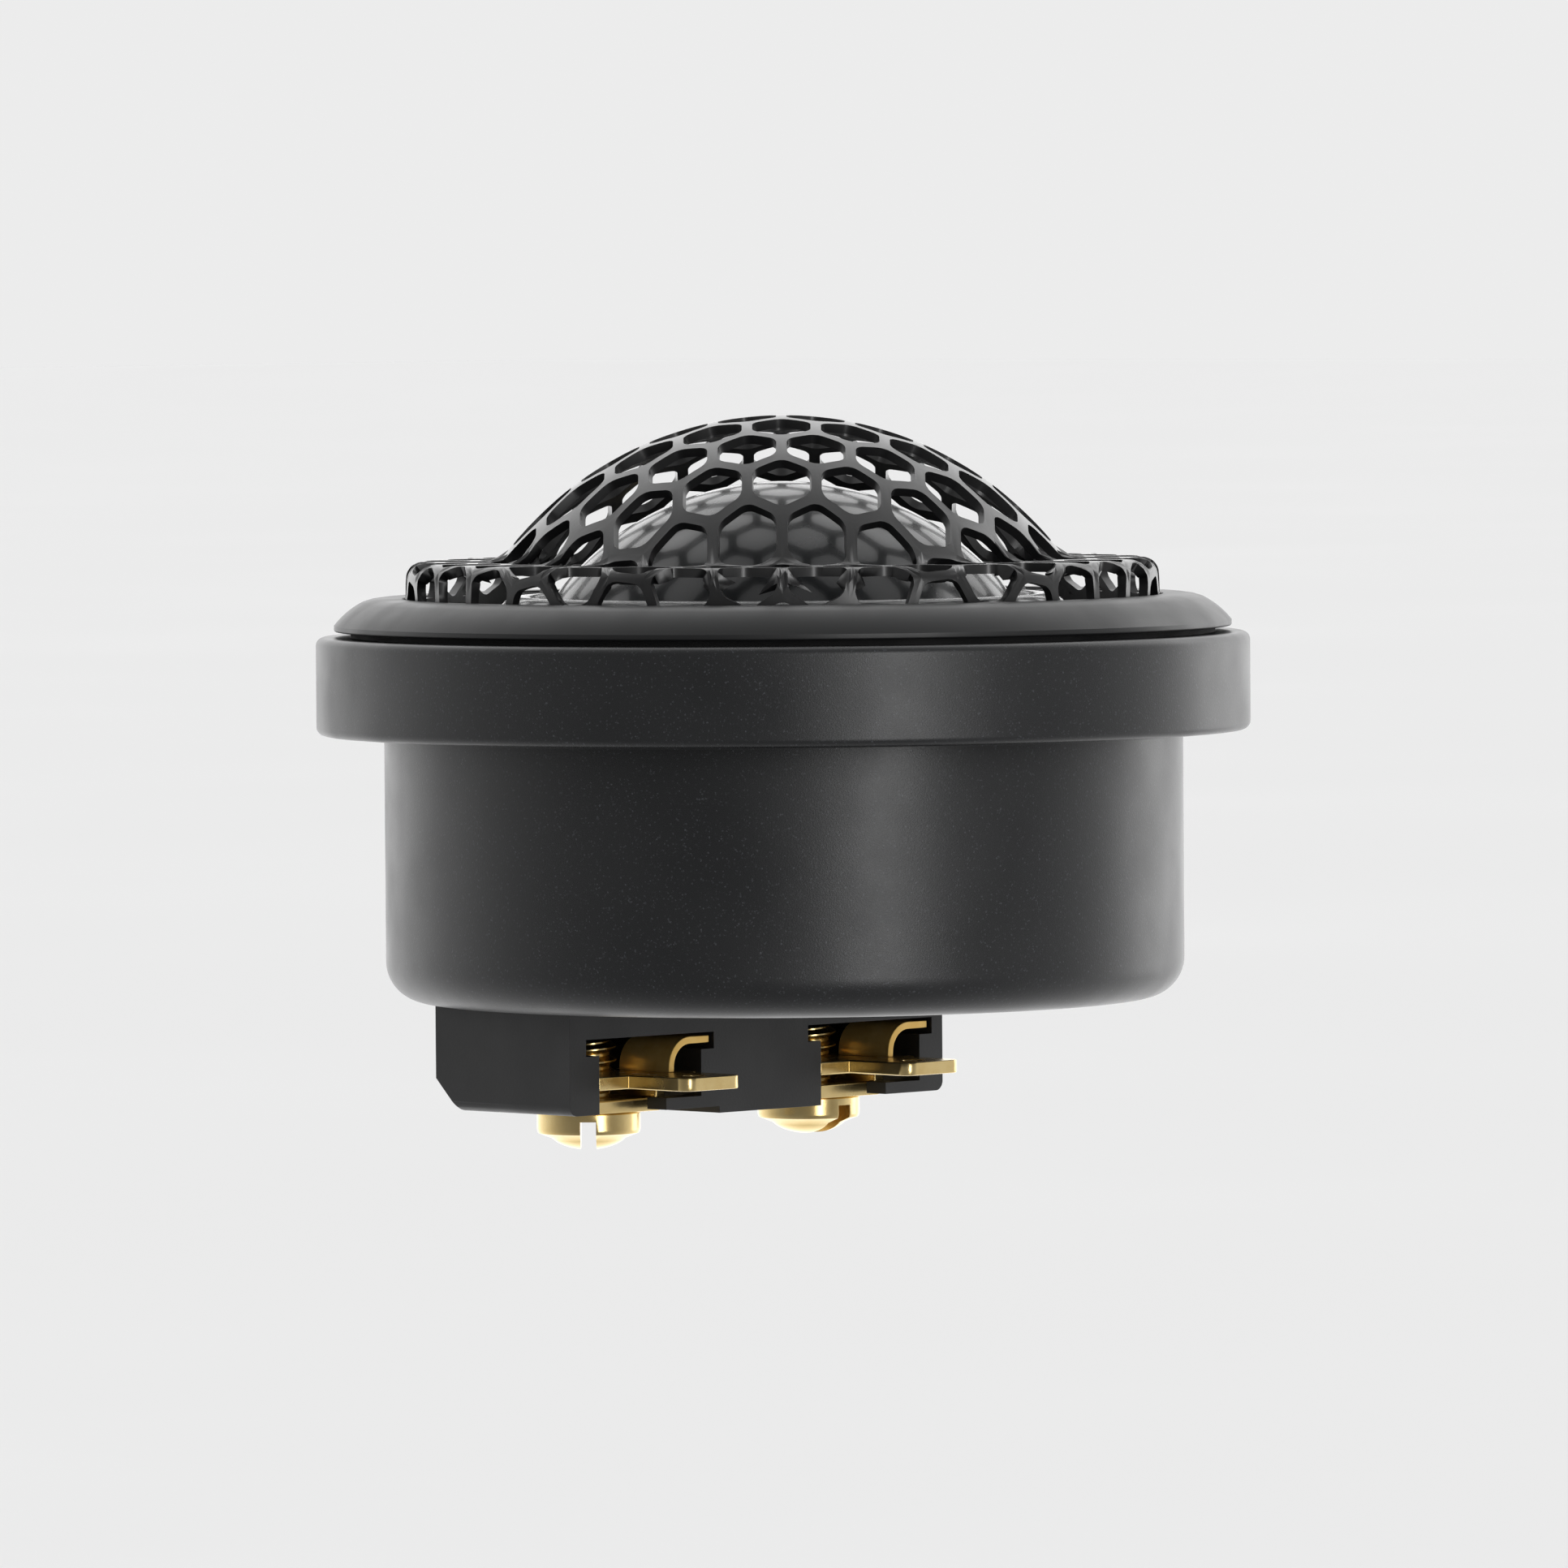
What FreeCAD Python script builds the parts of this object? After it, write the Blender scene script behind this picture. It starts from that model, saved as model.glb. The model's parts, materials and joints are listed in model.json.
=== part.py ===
import FreeCAD, Part
import math
import os
import re
import Sketcher

# A flush-mount car tweeter. The frame's origin is on the tweeter's axis at the underside of the
# flange, +Z points out through the grille, and the wire tabs point to -Y. Millimetres throughout.

DIMENSIONS = {
    # housing: cup and flange in one turning
    "flange_radius": 28.0,
    "flange_thick": 5.85,
    "flange_edge": 0.5,
    "cup_radius": 23.95,
    "cup_depth": 16.0,
    "cup_fillet": 2.4,
    "cup_wall": 1.95,
    "cup_floor": 2.0,
    "ledge_height": 4.5,
    "ledge_bore": 19.6,
    "ring_bore": 24.0,
    # bezel and grille
    "shadow_gap": 0.35,
    "bezel_radius": 26.9,
    "bezel_height": 1.95,
    "bezel_bore": 22.75,
    "bezel_lip": 0.65,
    "bezel_recess": 24.2,
    "bezel_edge": 0.35,
    "bezel_slope": 1.7,
    "bezel_shoulder": 5.0,
    "bezel_crown": 0.2,
    "grille_radius": 22.6,
    "grille_foot": 24.0,
    "grille_sheet": 0.55,
    "bead_height": 10.3,
    "bead_round": 1.0,
    "grille_top": 18.95,
    "grille_sphere": 20.85,
    "mesh_pitch": 4.1,
    "mesh_strut": 0.65,
    "slot_count": 34,
    "slot_height": 1.0,
    # diaphragm and voice coil
    "face_thick": 2.1,
    "face_bore": 17.2,
    "fit_gap": 0.1,
    "dome_radius": 14.3,
    "dome_sphere": 17.1,
    "dome_top": 15.0,
    "dome_skin": 0.2,
    "surround_gap": 0.05,
    "surround_skin": 0.2,
    "surround_flat": 0.9,
    "former_wall": 0.15,
    "coil_wall": 0.35,
    "coil_length": 3.4,
    # magnet system
    "air_gap": 0.25,
    "pole_gap": 0.2,
    "cap_skin": 0.2,
    "plate_thick": 2.5,
    "magnet_step": 1.05,
    "magnet_thick": 5.5,
    "yoke_radius": 18.0,
    "yoke_wall": 1.8,
    "yoke_floor": 4.0,
    "felt_thick": 3.0,
    "felt_radius": 16.0,
    "pole_felt_radius": 9.0,
    "pole_felt_thick": 1.5,
    # terminal block
    "block_length": 32.2,
    "block_width": 11.3,
    "block_front": 1.8,
    "block_shift": 0.5,
    "block_height": 6.4,
    "block_bevel": 1.9,
    "terminal_pitch": 19.0,
    "screw_setback": 5.5,
    "recess_left": 4.6,
    "recess_right": 4.05,
    "recess_depth": 8.8,
    "recess_roof": 1.9,
    "notch_reach": 1.1,
    "notch_height": 1.0,
    "shelf_length": 3.0,
    "shelf_depth": 1.6,
    "shelf_thick": 0.7,
    "pad_height": 0.4,
    "pad_half": 4.4,
    "pad_inset": 0.9,
    "block_round": 0.6,
    "head_round": 0.7,
    # contact, clamp and screw of one terminal
    "contact_clear": 0.7,
    "contact_thick": 0.8,
    "contact_margin": 0.2,
    "tab_width": 4.8,
    "tab_offset": 0.5,
    "tab_reach": 4.65,
    "tab_round": 0.8,
    "tab_hole": 0.65,
    "tab_hole_inset": 1.8,
    "riser_width": 2.0,
    "riser_thick": 0.5,
    "riser_top": 12.2,
    "guide_inset": 1.5,
    "guide_gap": 0.2,
    "guide_rise": 0.3,
    "guide_flange": 0.9,
    "guide_length": 4.2,
    "guide_sheet": 0.45,
    "screw_radius": 1.7,
    "thread_gap": 0.05,
    "screw_top": 2.1,
    "head_radius": 3.1,
    "head_height": 2.3,
    "driver_slot": 0.95,
    "driver_depth": 1.5,
    "clamp_gap": 0.2,
    "clamp_lip": 0.6,
    "clamp_thick": 0.8,
    "clamp_half_x": 3.2,
    "clamp_half_y": 3.3,
    "clamp_rear": 2.7,
    "clamp_round": 0.55,
    # leads, bushes and small fasteners
    "bush_radius": 1.75,
    "bush_flange": 2.3,
    "lead_radius": 0.4,
    "lead_run": 18.8,
    "lead_bend": 1.5,
    "pad_radius": 0.55,
    "pad_thick": 0.2,
    "small_screw": 0.95,
    "small_head": 1.9,
    "small_head_height": 1.2,
    "motor_screw_ring": 20.9,
    "motor_screw_length": 5.4,
    "motor_screw_count": 3,
    "block_screw_spacing": 5.0,
    "block_screw_length": 5.0,
}

DOC = FreeCAD.newDocument("car_tweeter")
SHEET = DOC.addObject("Spreadsheet::Sheet", "Sizes")
for row, (alias, number) in enumerate(DIMENSIONS.items(), start=1):
    SHEET.set(f"A{row}", alias.replace("_", " "))
    SHEET.set(f"B{row}", str(number))
    SHEET.setAlias(f"B{row}", alias)
DOC.recompute()


def bound(text):
    """The expression with every dimension's name pointed at its cell of the sheet."""
    return re.sub(
        r"[a-z][a-z_]+", lambda word: "Sizes." + word.group() if word.group() in DIMENSIONS
        else word.group(), str(text))


def number(text):
    """The value of an expression of dimensions, in millimetres."""
    return float(SHEET.evalExpression(bound(text)))


# ---------------------------------------------------------------- modelling helpers

def bind(feature, **expressions):
    """Bind properties of a feature to expressions of the sheet's dimensions."""
    for name, text in expressions.items():
        feature.setExpression(name, bound(text))


def place(feature, x="0", y="0", z="0"):
    """Bind a feature's position to expressions."""
    for axis, text in zip("xyz", (x, y, z)):
        feature.setExpression(f".Placement.Base.{axis}", bound(text))


def origin_plane(body, role):
    """The named origin plane of a body."""
    return next(item for item in body.Origin.OriginFeatures if item.Role == role)


def left_centre(start, end, radius):
    """The centre of the arc of a radius that turns left from start to end."""
    half = (end - start) * 0.5
    rise = math.sqrt(radius ** 2 - half.Length ** 2)
    return start + half + FreeCAD.Vector(-half.y, half.x, 0).normalize() * rise


def outline_sketch(body, name, role, outline):
    """A fully constrained closed sketch. An outline entry is a corner (x, y), or a corner followed
    by the radius of the arc that leads from it to the next corner, and the arc's centre. With no
    centre given, the arc turns left, as an outward shoulder does on an anticlockwise outline."""
    sketch = body.newObject("Sketcher::SketchObject", name)
    sketch.AttachmentSupport = [(origin_plane(body, role), "")]
    sketch.MapMode = "FlatFace"
    corners = [FreeCAD.Vector(number(entry[0]), number(entry[1]), 0) for entry in outline]
    count = len(outline)
    for index, entry in enumerate(outline):
        start, end = corners[index], corners[(index + 1) % count]
        if len(entry) == 2:
            sketch.addGeometry(Part.LineSegment(start, end))
            continue
        centre = left_centre(start, end, number(entry[2]))
        if len(entry) > 3:
            centre = FreeCAD.Vector(number(entry[3]), number(entry[4]), 0)
        circle = Part.Circle(centre, FreeCAD.Vector(0, 0, 1), number(entry[2]))
        angles = [circle.parameter(start), circle.parameter(end)]
        anticlockwise = (angles[1] - angles[0]) % (2 * math.pi) < math.pi
        if not anticlockwise:
            angles.reverse()
        sketch.addGeometry(Part.ArcOfCircle(circle, *angles))
    first_points = []
    for index, entry in enumerate(outline):
        reversed_arc = (len(entry) > 2 and
                        sketch.getPoint(index, 1).distanceToPoint(corners[index]) > 1e-6)
        first_points.append((2, 1) if reversed_arc else (1, 2))
    for index in range(count):
        after = (index + 1) % count
        sketch.addConstraint(Sketcher.Constraint(
            "Coincident", index, first_points[index][1], after, first_points[after][0]))
    for index, entry in enumerate(outline):
        for kind, letter, text in (("DistanceX", "x", entry[0]), ("DistanceY", "y", entry[1])):
            datum = sketch.addConstraint(Sketcher.Constraint(
                kind, index, first_points[index][0], number(text)))
            sketch.renameConstraint(datum, f"{letter}{index}")
            sketch.setExpression(f"Constraints.{letter}{index}", bound(text))
        if len(entry) > 2:
            datum = sketch.addConstraint(Sketcher.Constraint("Radius", index, number(entry[2])))
            sketch.renameConstraint(datum, f"arc{index}")
            sketch.setExpression(f"Constraints.arc{index}", bound(entry[2]))
    return sketch


def turned(label, outline):
    """A body turned about the Z axis from an outline of (radius, height) corners."""
    body = DOC.addObject("PartDesign::Body", label)
    sketch = outline_sketch(body, label + "_outline", "XZ_Plane", outline)
    turning = body.newObject("PartDesign::Revolution", label + "_turning")
    turning.Profile = sketch
    turning.ReferenceAxis = (sketch, ["V_Axis"])
    turning.Angle = 360
    body.Tip = turning
    return body


def padded(label, role, outline, length, midplane=False):
    """A body padded from an outline on one of its origin planes."""
    body = DOC.addObject("PartDesign::Body", label)
    sketch = outline_sketch(body, label + "_outline", role, outline)
    pad = body.newObject("PartDesign::Pad", label + "_pad")
    pad.Profile = sketch
    pad.Midplane = midplane
    bind(pad, Length=length)
    body.Tip = pad
    return body


def box(name, x_range, y_range, z_range):
    """A box between pairs of expressions on each axis."""
    block = DOC.addObject("Part::Box", name)
    lows = [low for low, _ in (x_range, y_range, z_range)]
    spans = [f"({high}) - ({low})" for low, high in (x_range, y_range, z_range)]
    bind(block, Length=spans[0], Width=spans[1], Height=spans[2])
    place(block, *lows)
    return block


def cylinder(name, radius, z_range, x="0", y="0"):
    """An upright cylinder between two heights."""
    rod = DOC.addObject("Part::Cylinder", name)
    bind(rod, Radius=radius, Height=f"({z_range[1]}) - ({z_range[0]})")
    place(rod, x, y, z_range[0])
    return rod


def tube(name, outer, inner, z_range, x="0", y="0"):
    """An upright tube between two heights."""
    bottom, top = z_range
    bore_range = (f"({bottom}) - 1", f"({top}) + 1")
    return cut(name, cylinder(name + "_outer", outer, z_range, x, y),
               [cylinder(name + "_bore", inner, bore_range, x, y)])


def fuse(name, shapes):
    """The union of several objects, with the seams between them removed."""
    union = DOC.addObject("Part::MultiFuse", name)
    union.Shapes = shapes
    union.Refine = True
    return union


def cut(name, base, tools):
    """An object less its tools."""
    tool = tools[0]
    if len(tools) > 1:
        tool = DOC.addObject("Part::Compound", name + "_tools")
        tool.Links = tools
    result = DOC.addObject("Part::Cut", name)
    result.Base = base
    result.Tool = tool
    return result


def rounded(name, base, radius, chosen):
    """The object with a fillet on every edge that the chosen test picks."""
    DOC.recompute()
    result = DOC.addObject("Part::Fillet", name)
    result.Base = base
    size = number(radius)
    result.Edges = [(index, size, size) for index, edge in enumerate(base.Shape.Edges, start=1)
                    if chosen(edge)]
    return result


# ---------------------------------------------------------------- housing, bezel and grille

SIDES = (("left", -1), ("right", 1))
PARTS = {}

LEAD_X = "terminal_pitch / 2"
LEAD_Y = "sqrt(lead_run ^ 2 - (terminal_pitch / 2) ^ 2)"
SCREW_Y = "block_front + screw_setback"
RISER_Y = "block_front + recess_depth + contact_margin + riser_thick"
CUP_INSIDE = "cup_radius - cup_wall"
FACE_TOP = "ledge_height + face_thick"
BEZEL_BOTTOM = "flange_thick + shadow_gap"
BEZEL_TOP = "flange_thick + shadow_gap + bezel_height"
LIP_UNDERSIDE = "flange_thick + shadow_gap + bezel_height - bezel_lip"


def small_screw_places():
    """The x and y of each motor screw, as expressions."""
    count = int(number("motor_screw_count"))
    return [(f"motor_screw_ring * cos({index} * 360 / {count} + 90)",
             f"motor_screw_ring * sin({index} * 360 / {count} + 90)") for index in range(count)]


def block_screw_places():
    """The x and y of each screw that holds the terminal block to the cup's floor."""
    return [(f"(pad_inset - {sign} * block_screw_spacing) / 2", SCREW_Y) for sign in (1, -1)]


def make_housing():
    """Cup and flange in one turning, bored for the bushes and the small screws."""
    shell = turned("housing_turning", [
        ("0", "-cup_depth"),
        ("cup_radius - cup_fillet", "-cup_depth",
         "cup_fillet", "cup_radius - cup_fillet", "cup_fillet - cup_depth"),
        ("cup_radius", "cup_fillet - cup_depth"),
        ("cup_radius", "0"),
        ("flange_radius - flange_edge", "0", "flange_edge", "flange_radius - flange_edge", "flange_edge"),
        ("flange_radius", "flange_edge"),
        ("flange_radius", "flange_thick - flange_edge",
         "flange_edge", "flange_radius - flange_edge", "flange_thick - flange_edge"),
        ("flange_radius - flange_edge", "flange_thick"),
        ("ring_bore", "flange_thick"),
        ("ring_bore", "ledge_height"),
        ("ledge_bore", "ledge_height"),
        ("ledge_bore", "0"),
        (CUP_INSIDE, f"ledge_bore - ({CUP_INSIDE})"),
        (CUP_INSIDE, "cup_floor - cup_depth"),
        ("0", "cup_floor - cup_depth"),
    ])
    holes = []
    for side, sign in SIDES:
        holes.append(cylinder(f"bush_hole_{side}", "bush_radius",
                              ("-cup_depth - 1", "cup_floor - cup_depth + 1"),
                              f"{sign} * {LEAD_X}", f"{RISER_Y} - riser_thick / 2"))
    for index, (x, y) in enumerate(block_screw_places()):
        holes.append(cylinder(f"block_screw_hole_{index}", "small_screw + fit_gap",
                              ("-cup_depth - 1", "cup_floor - cup_depth + 1"), x, y))
    for index, (x, y) in enumerate(small_screw_places()):
        holes.append(cylinder(f"motor_screw_hole_{index}", "small_screw",
                              (f"{FACE_TOP} - motor_screw_length - 0.3", f"{FACE_TOP} + 1"), x, y))
    return cut("housing", shell, holes)


def make_bezel():
    """The trim ring: an upright edge, a convex shoulder and a flat top with a lip over the grille."""
    return turned("bezel_ring", [
        ("bezel_recess", BEZEL_BOTTOM),
        ("bezel_radius", BEZEL_BOTTOM),
        ("bezel_radius", f"{BEZEL_BOTTOM} + bezel_edge", "bezel_shoulder"),
        ("bezel_radius - bezel_slope", f"{BEZEL_TOP} - bezel_crown"),
        ("bezel_radius - bezel_slope - 4 * bezel_crown", BEZEL_TOP),
        ("bezel_bore", BEZEL_TOP),
        ("bezel_bore", LIP_UNDERSIDE),
        ("bezel_recess", LIP_UNDERSIDE),
    ])


def make_grille():
    """The pressed mesh: a sphere inside a rolled bead, with a foot that the bezel's lip traps."""
    sphere_middle = "(grille_top - grille_sphere)"
    inner_sphere = "(grille_sphere - grille_sheet)"
    bead_under = "(bead_height - grille_sheet)"
    outer_foot = f"sqrt(grille_sphere ^ 2 - (bead_height - {sphere_middle}) ^ 2)"
    inner_foot = f"sqrt({inner_sphere} ^ 2 - ({bead_under} - {sphere_middle}) ^ 2)"
    foot_bottom = f"{LIP_UNDERSIDE} - grille_sheet"
    shell = turned("grille_pressing", [
        ("grille_foot", foot_bottom),
        ("grille_foot", LIP_UNDERSIDE),
        ("grille_radius", LIP_UNDERSIDE),
        ("grille_radius", "bead_height - bead_round",
         "bead_round", "grille_radius - bead_round", "bead_height - bead_round"),
        ("grille_radius - bead_round", "bead_height"),
        (outer_foot, "bead_height", "grille_sphere", "0", sphere_middle),
        ("0", "grille_top"),
        ("0", "grille_top - grille_sheet", inner_sphere, "0", sphere_middle),
        (inner_foot, bead_under),
        ("grille_radius - bead_round", bead_under,
         "bead_round - grille_sheet", "grille_radius - bead_round", "bead_height - bead_round"),
        ("grille_radius - grille_sheet", "bead_height - bead_round"),
        ("grille_radius - grille_sheet", foot_bottom),
    ])
    holes = []
    reach = number("grille_radius - grille_sheet") - number("mesh_pitch") / 2
    row_spacing = number("mesh_pitch") * math.sqrt(3) / 2
    rows = int(reach / row_spacing) + 1
    for row in range(-rows, rows + 1):
        for column in range(-rows - 1, rows + 2):
            x = (column + (row % 2) / 2) * number("mesh_pitch")
            y = (row + 1 / 3) * row_spacing + row_spacing / 3
            if math.hypot(x, y) > reach:
                continue
            hole = DOC.addObject("Part::Prism", f"mesh_hole_{len(holes)}")
            hole.Polygon = 6
            bind(hole, Circumradius="(mesh_pitch - mesh_strut) / sqrt(3)", Height="grille_top")
            hole.Placement = FreeCAD.Placement(
                FreeCAD.Vector(x, y, number("bead_height") / 2),
                FreeCAD.Rotation(FreeCAD.Vector(0, 0, 1), 30))
            holes.append(hole)
    slots = int(number("slot_count"))
    for index in range(slots):
        slot = cylinder(f"bead_slot_{index}", "grille_radius + 1",
                        (f"{BEZEL_TOP} + 0.2", f"{BEZEL_TOP} + 0.2 + slot_height"))
        bind(slot, Angle=f"360 deg / {slots} - 2 * asin(mesh_strut / (2 * grille_radius))")
        slot.setExpression(".Placement.Rotation.Angle", f"{index} * 360 / {slots}")
        holes.append(slot)
    return cut("grille", shell, holes)


PARTS["housing"] = make_housing()
PARTS["bezel_ring"] = make_bezel()
PARTS["grille"] = make_grille()
PARTS["shadow_gap_seal"] = tube("shadow_gap_seal", "bezel_radius - 1", "bezel_recess",
                                ("flange_thick", BEZEL_BOTTOM))
PARTS["grille_cushion"] = tube("grille_cushion", "grille_foot - fit_gap", "grille_radius - grille_sheet",
                               (FACE_TOP, f"{LIP_UNDERSIDE} - grille_sheet"))


# ---------------------------------------------------------------- diaphragm and voice coil

SPHERE_MIDDLE = "(dome_top - dome_sphere)"
FORMER_OUTER = "(dome_radius - dome_skin)"
FORMER_INNER = "(dome_radius - dome_skin - former_wall)"
COIL_OUTER = "(dome_radius - dome_skin + coil_wall)"
GAP_MIDDLE = "(ledge_height - plate_thick / 2)"
COIL_BOTTOM = f"({GAP_MIDDLE} - coil_length / 2)"


def make_dome():
    """The soft dome: a spherical cap with a short skirt that the former is glued into."""
    rim = f"{SPHERE_MIDDLE} + sqrt(dome_sphere ^ 2 - dome_radius ^ 2)"
    inner = "(dome_sphere - dome_skin)"
    inner_rim = f"{SPHERE_MIDDLE} + sqrt({inner} ^ 2 - {FORMER_OUTER} ^ 2)"
    return turned("diaphragm_dome", [
        (FORMER_OUTER, FACE_TOP),
        ("dome_radius", FACE_TOP),
        ("dome_radius", rim, "dome_sphere", "0", SPHERE_MIDDLE),
        ("0", "dome_top"),
        ("0", "dome_top - dome_skin", inner, "0", SPHERE_MIDDLE),
        (FORMER_OUTER, inner_rim),
    ])


def make_surround():
    """The half-roll surround with its flat glued to the face ring."""
    inside = "(dome_radius + surround_gap)"
    middle = f"({inside} + face_bore) / 2"
    outer_roll = f"((face_bore - {inside}) / 2)"
    inner_roll = f"({outer_roll} - surround_skin)"
    base = f"{FACE_TOP} + surround_skin"
    return turned("surround", [
        ("face_bore + surround_flat", FACE_TOP),
        ("face_bore + surround_flat", base),
        ("face_bore", base, outer_roll, middle, base),
        (middle, f"{base} + {outer_roll}", outer_roll, middle, base),
        (inside, base),
        (f"{inside} + surround_skin", base, inner_roll, middle, base),
        (middle, f"{base} + {inner_roll}", inner_roll, middle, base),
        ("face_bore - surround_skin", base),
        ("face_bore - surround_skin", FACE_TOP),
    ])


def make_face_ring():
    """The ring that carries the surround, countersunk for its screws and bored for the leads."""
    ring = tube("face_ring_blank", "ring_bore - fit_gap", "face_bore", ("ledge_height", FACE_TOP))
    holes = []
    for index, (x, y) in enumerate(small_screw_places()):
        holes.append(countersunk_screw(f"face_screw_hole_{index}", x, y))
    for side, sign in SIDES:
        holes.append(cylinder(f"face_lead_hole_{side}", "lead_radius + fit_gap",
                              ("ledge_height - 1", f"{FACE_TOP} + 1"), f"{sign} * {LEAD_X}", LEAD_Y))
    return cut("face_ring", ring, holes)


def countersunk_screw(name, x, y):
    """A flat-head screw whose head is flush with the face ring."""
    shank = cylinder(name + "_shank", "small_screw",
                     (f"{FACE_TOP} - motor_screw_length", f"{FACE_TOP} - small_head_height"), x, y)
    head = DOC.addObject("Part::Cone", name + "_head")
    bind(head, Radius1="small_screw", Radius2="small_head", Height="small_head_height")
    place(head, x, y, f"{FACE_TOP} - small_head_height")
    return fuse(name, [shank, head])


def make_motor_screws():
    """The motor screws, each with a driver recess in its head."""
    screws = []
    for index, (x, y) in enumerate(small_screw_places()):
        recess = DOC.addObject("Part::Prism", f"motor_driver_{index}")
        recess.Polygon = 6
        bind(recess, Circumradius="small_head / 3", Height="small_head_height")
        place(recess, x, y, f"{FACE_TOP} - small_head_height / 2")
        blank = countersunk_screw(f"motor_screw_blank_{index}", x, y)
        screws.append(cut(f"motor_screw_{index}", blank, [recess]))
    return fuse("motor_screws", screws)


PARTS["diaphragm_dome"] = make_dome()
PARTS["surround"] = make_surround()
PARTS["coil_former"] = tube("coil_former", FORMER_OUTER, FORMER_INNER,
                            (f"{COIL_BOTTOM} - 0.4", f"{FACE_TOP} - 0.1"))
PARTS["voice_coil"] = tube("voice_coil", COIL_OUTER, FORMER_OUTER,
                           (COIL_BOTTOM, f"{COIL_BOTTOM} + coil_length"))
PARTS["face_ring"] = make_face_ring()
PARTS["motor_screws"] = make_motor_screws()


# ---------------------------------------------------------------- magnet system

PLATE_BOTTOM = "(ledge_height - plate_thick)"
MAGNET_BOTTOM = f"({PLATE_BOTTOM} - magnet_thick)"
YOKE_BOTTOM = f"({MAGNET_BOTTOM} - yoke_floor)"
CAP_OUTER = f"({FORMER_INNER} - pole_gap)"
POLE_RADIUS = f"({CAP_OUTER} - cap_skin)"


def make_copper_cap():
    """The thin copper cap over the pole plate."""
    hollow = cylinder("cap_hollow", POLE_RADIUS, (f"{PLATE_BOTTOM} - 1", "ledge_height"))
    return cut("copper_cap", cylinder("cap_blank", CAP_OUTER, (PLATE_BOTTOM, "ledge_height + cap_skin")),
               [hollow])


def make_yoke():
    """The soft-iron yoke: a floor under the magnet and a wall up to the top plate."""
    hollow = cylinder("yoke_hollow", "yoke_radius - yoke_wall", (MAGNET_BOTTOM, "ledge_height"))
    blank = cylinder("yoke_blank", "yoke_radius", (YOKE_BOTTOM, PLATE_BOTTOM))
    return cut("yoke_cup", blank, [hollow])


PARTS["top_plate"] = tube("top_plate", "yoke_radius", f"{COIL_OUTER} + air_gap",
                          (PLATE_BOTTOM, "ledge_height"))
PARTS["pole_plate"] = cylinder("pole_plate", POLE_RADIUS, (PLATE_BOTTOM, "ledge_height"))
PARTS["copper_cap"] = make_copper_cap()
PARTS["magnet"] = cylinder("magnet", f"{POLE_RADIUS} - magnet_step", (MAGNET_BOTTOM, PLATE_BOTTOM))
PARTS["yoke_cup"] = make_yoke()
PARTS["rear_felt"] = cylinder("rear_felt", "felt_radius",
                              (f"{YOKE_BOTTOM} - felt_thick", YOKE_BOTTOM))
PARTS["pole_felt"] = cylinder("pole_felt", "pole_felt_radius",
                              ("ledge_height + cap_skin", "ledge_height + cap_skin + pole_felt_thick"))


# ---------------------------------------------------------------- terminal block

BLOCK_TOP = "-cup_depth"
BLOCK_BOTTOM = "(-cup_depth - block_height)"
BLOCK_REAR = "(block_front + block_width)"
ROOF = "(-cup_depth - recess_roof)"
CONTACT_BOTTOM = f"({BLOCK_BOTTOM} + shelf_thick + contact_clear)"
CONTACT_TOP = f"({CONTACT_BOTTOM} + contact_thick)"
LIP_TOP = f"({CONTACT_BOTTOM} - clamp_gap)"
CLAMP_UNDER = f"({LIP_TOP} - clamp_lip - clamp_thick)"
RECESS_REAR = "(block_front + recess_depth)"


def terminal_axis(sign):
    """The x of a terminal's screw, on the left or the right."""
    return f"({sign} * terminal_pitch / 2)"


def recess_tools(side, axis):
    """The spaces of one terminal: recess, side notches, screw end, riser slot and shelf."""
    shelf_left = f"{axis} + recess_right - shelf_length"
    upper = box(f"recess_{side}", (f"{axis} - recess_left", f"{axis} + recess_right"),
                ("block_front - 1", RECESS_REAR), (f"{BLOCK_BOTTOM} + shelf_thick", ROOF))
    lower = box(f"recess_mouth_{side}", (f"{axis} - recess_left", f"{axis} + recess_right"),
                ("block_front - 1", RECESS_REAR), (f"{BLOCK_BOTTOM} - 1", ROOF))
    shelf = box(f"shelf_{side}", (shelf_left, f"{axis} + recess_right + 1"),
                ("block_front - 2", "block_front + shelf_depth"),
                (f"{BLOCK_BOTTOM} - 2", f"{BLOCK_BOTTOM} + shelf_thick"))
    notch = box(f"notch_{side}",
                (f"{axis} - recess_left - notch_reach", f"{axis} + recess_right + notch_reach"),
                ("block_front - 1", RECESS_REAR), (f"{ROOF} - notch_height", ROOF))
    screw_end = cylinder(f"screw_end_{side}", "screw_radius + 0.3",
                         (ROOF, f"{BLOCK_TOP} - 0.4"), axis, SCREW_Y)
    riser = cylinder(f"riser_hole_{side}", "bush_radius",
                     (f"{CONTACT_BOTTOM} - fit_gap", f"{BLOCK_TOP} + 1"),
                     axis, f"{RISER_Y} - riser_thick / 2")
    return [upper, cut(f"recess_floor_{side}", lower, [shelf]), notch, screw_end, riser]


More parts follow.
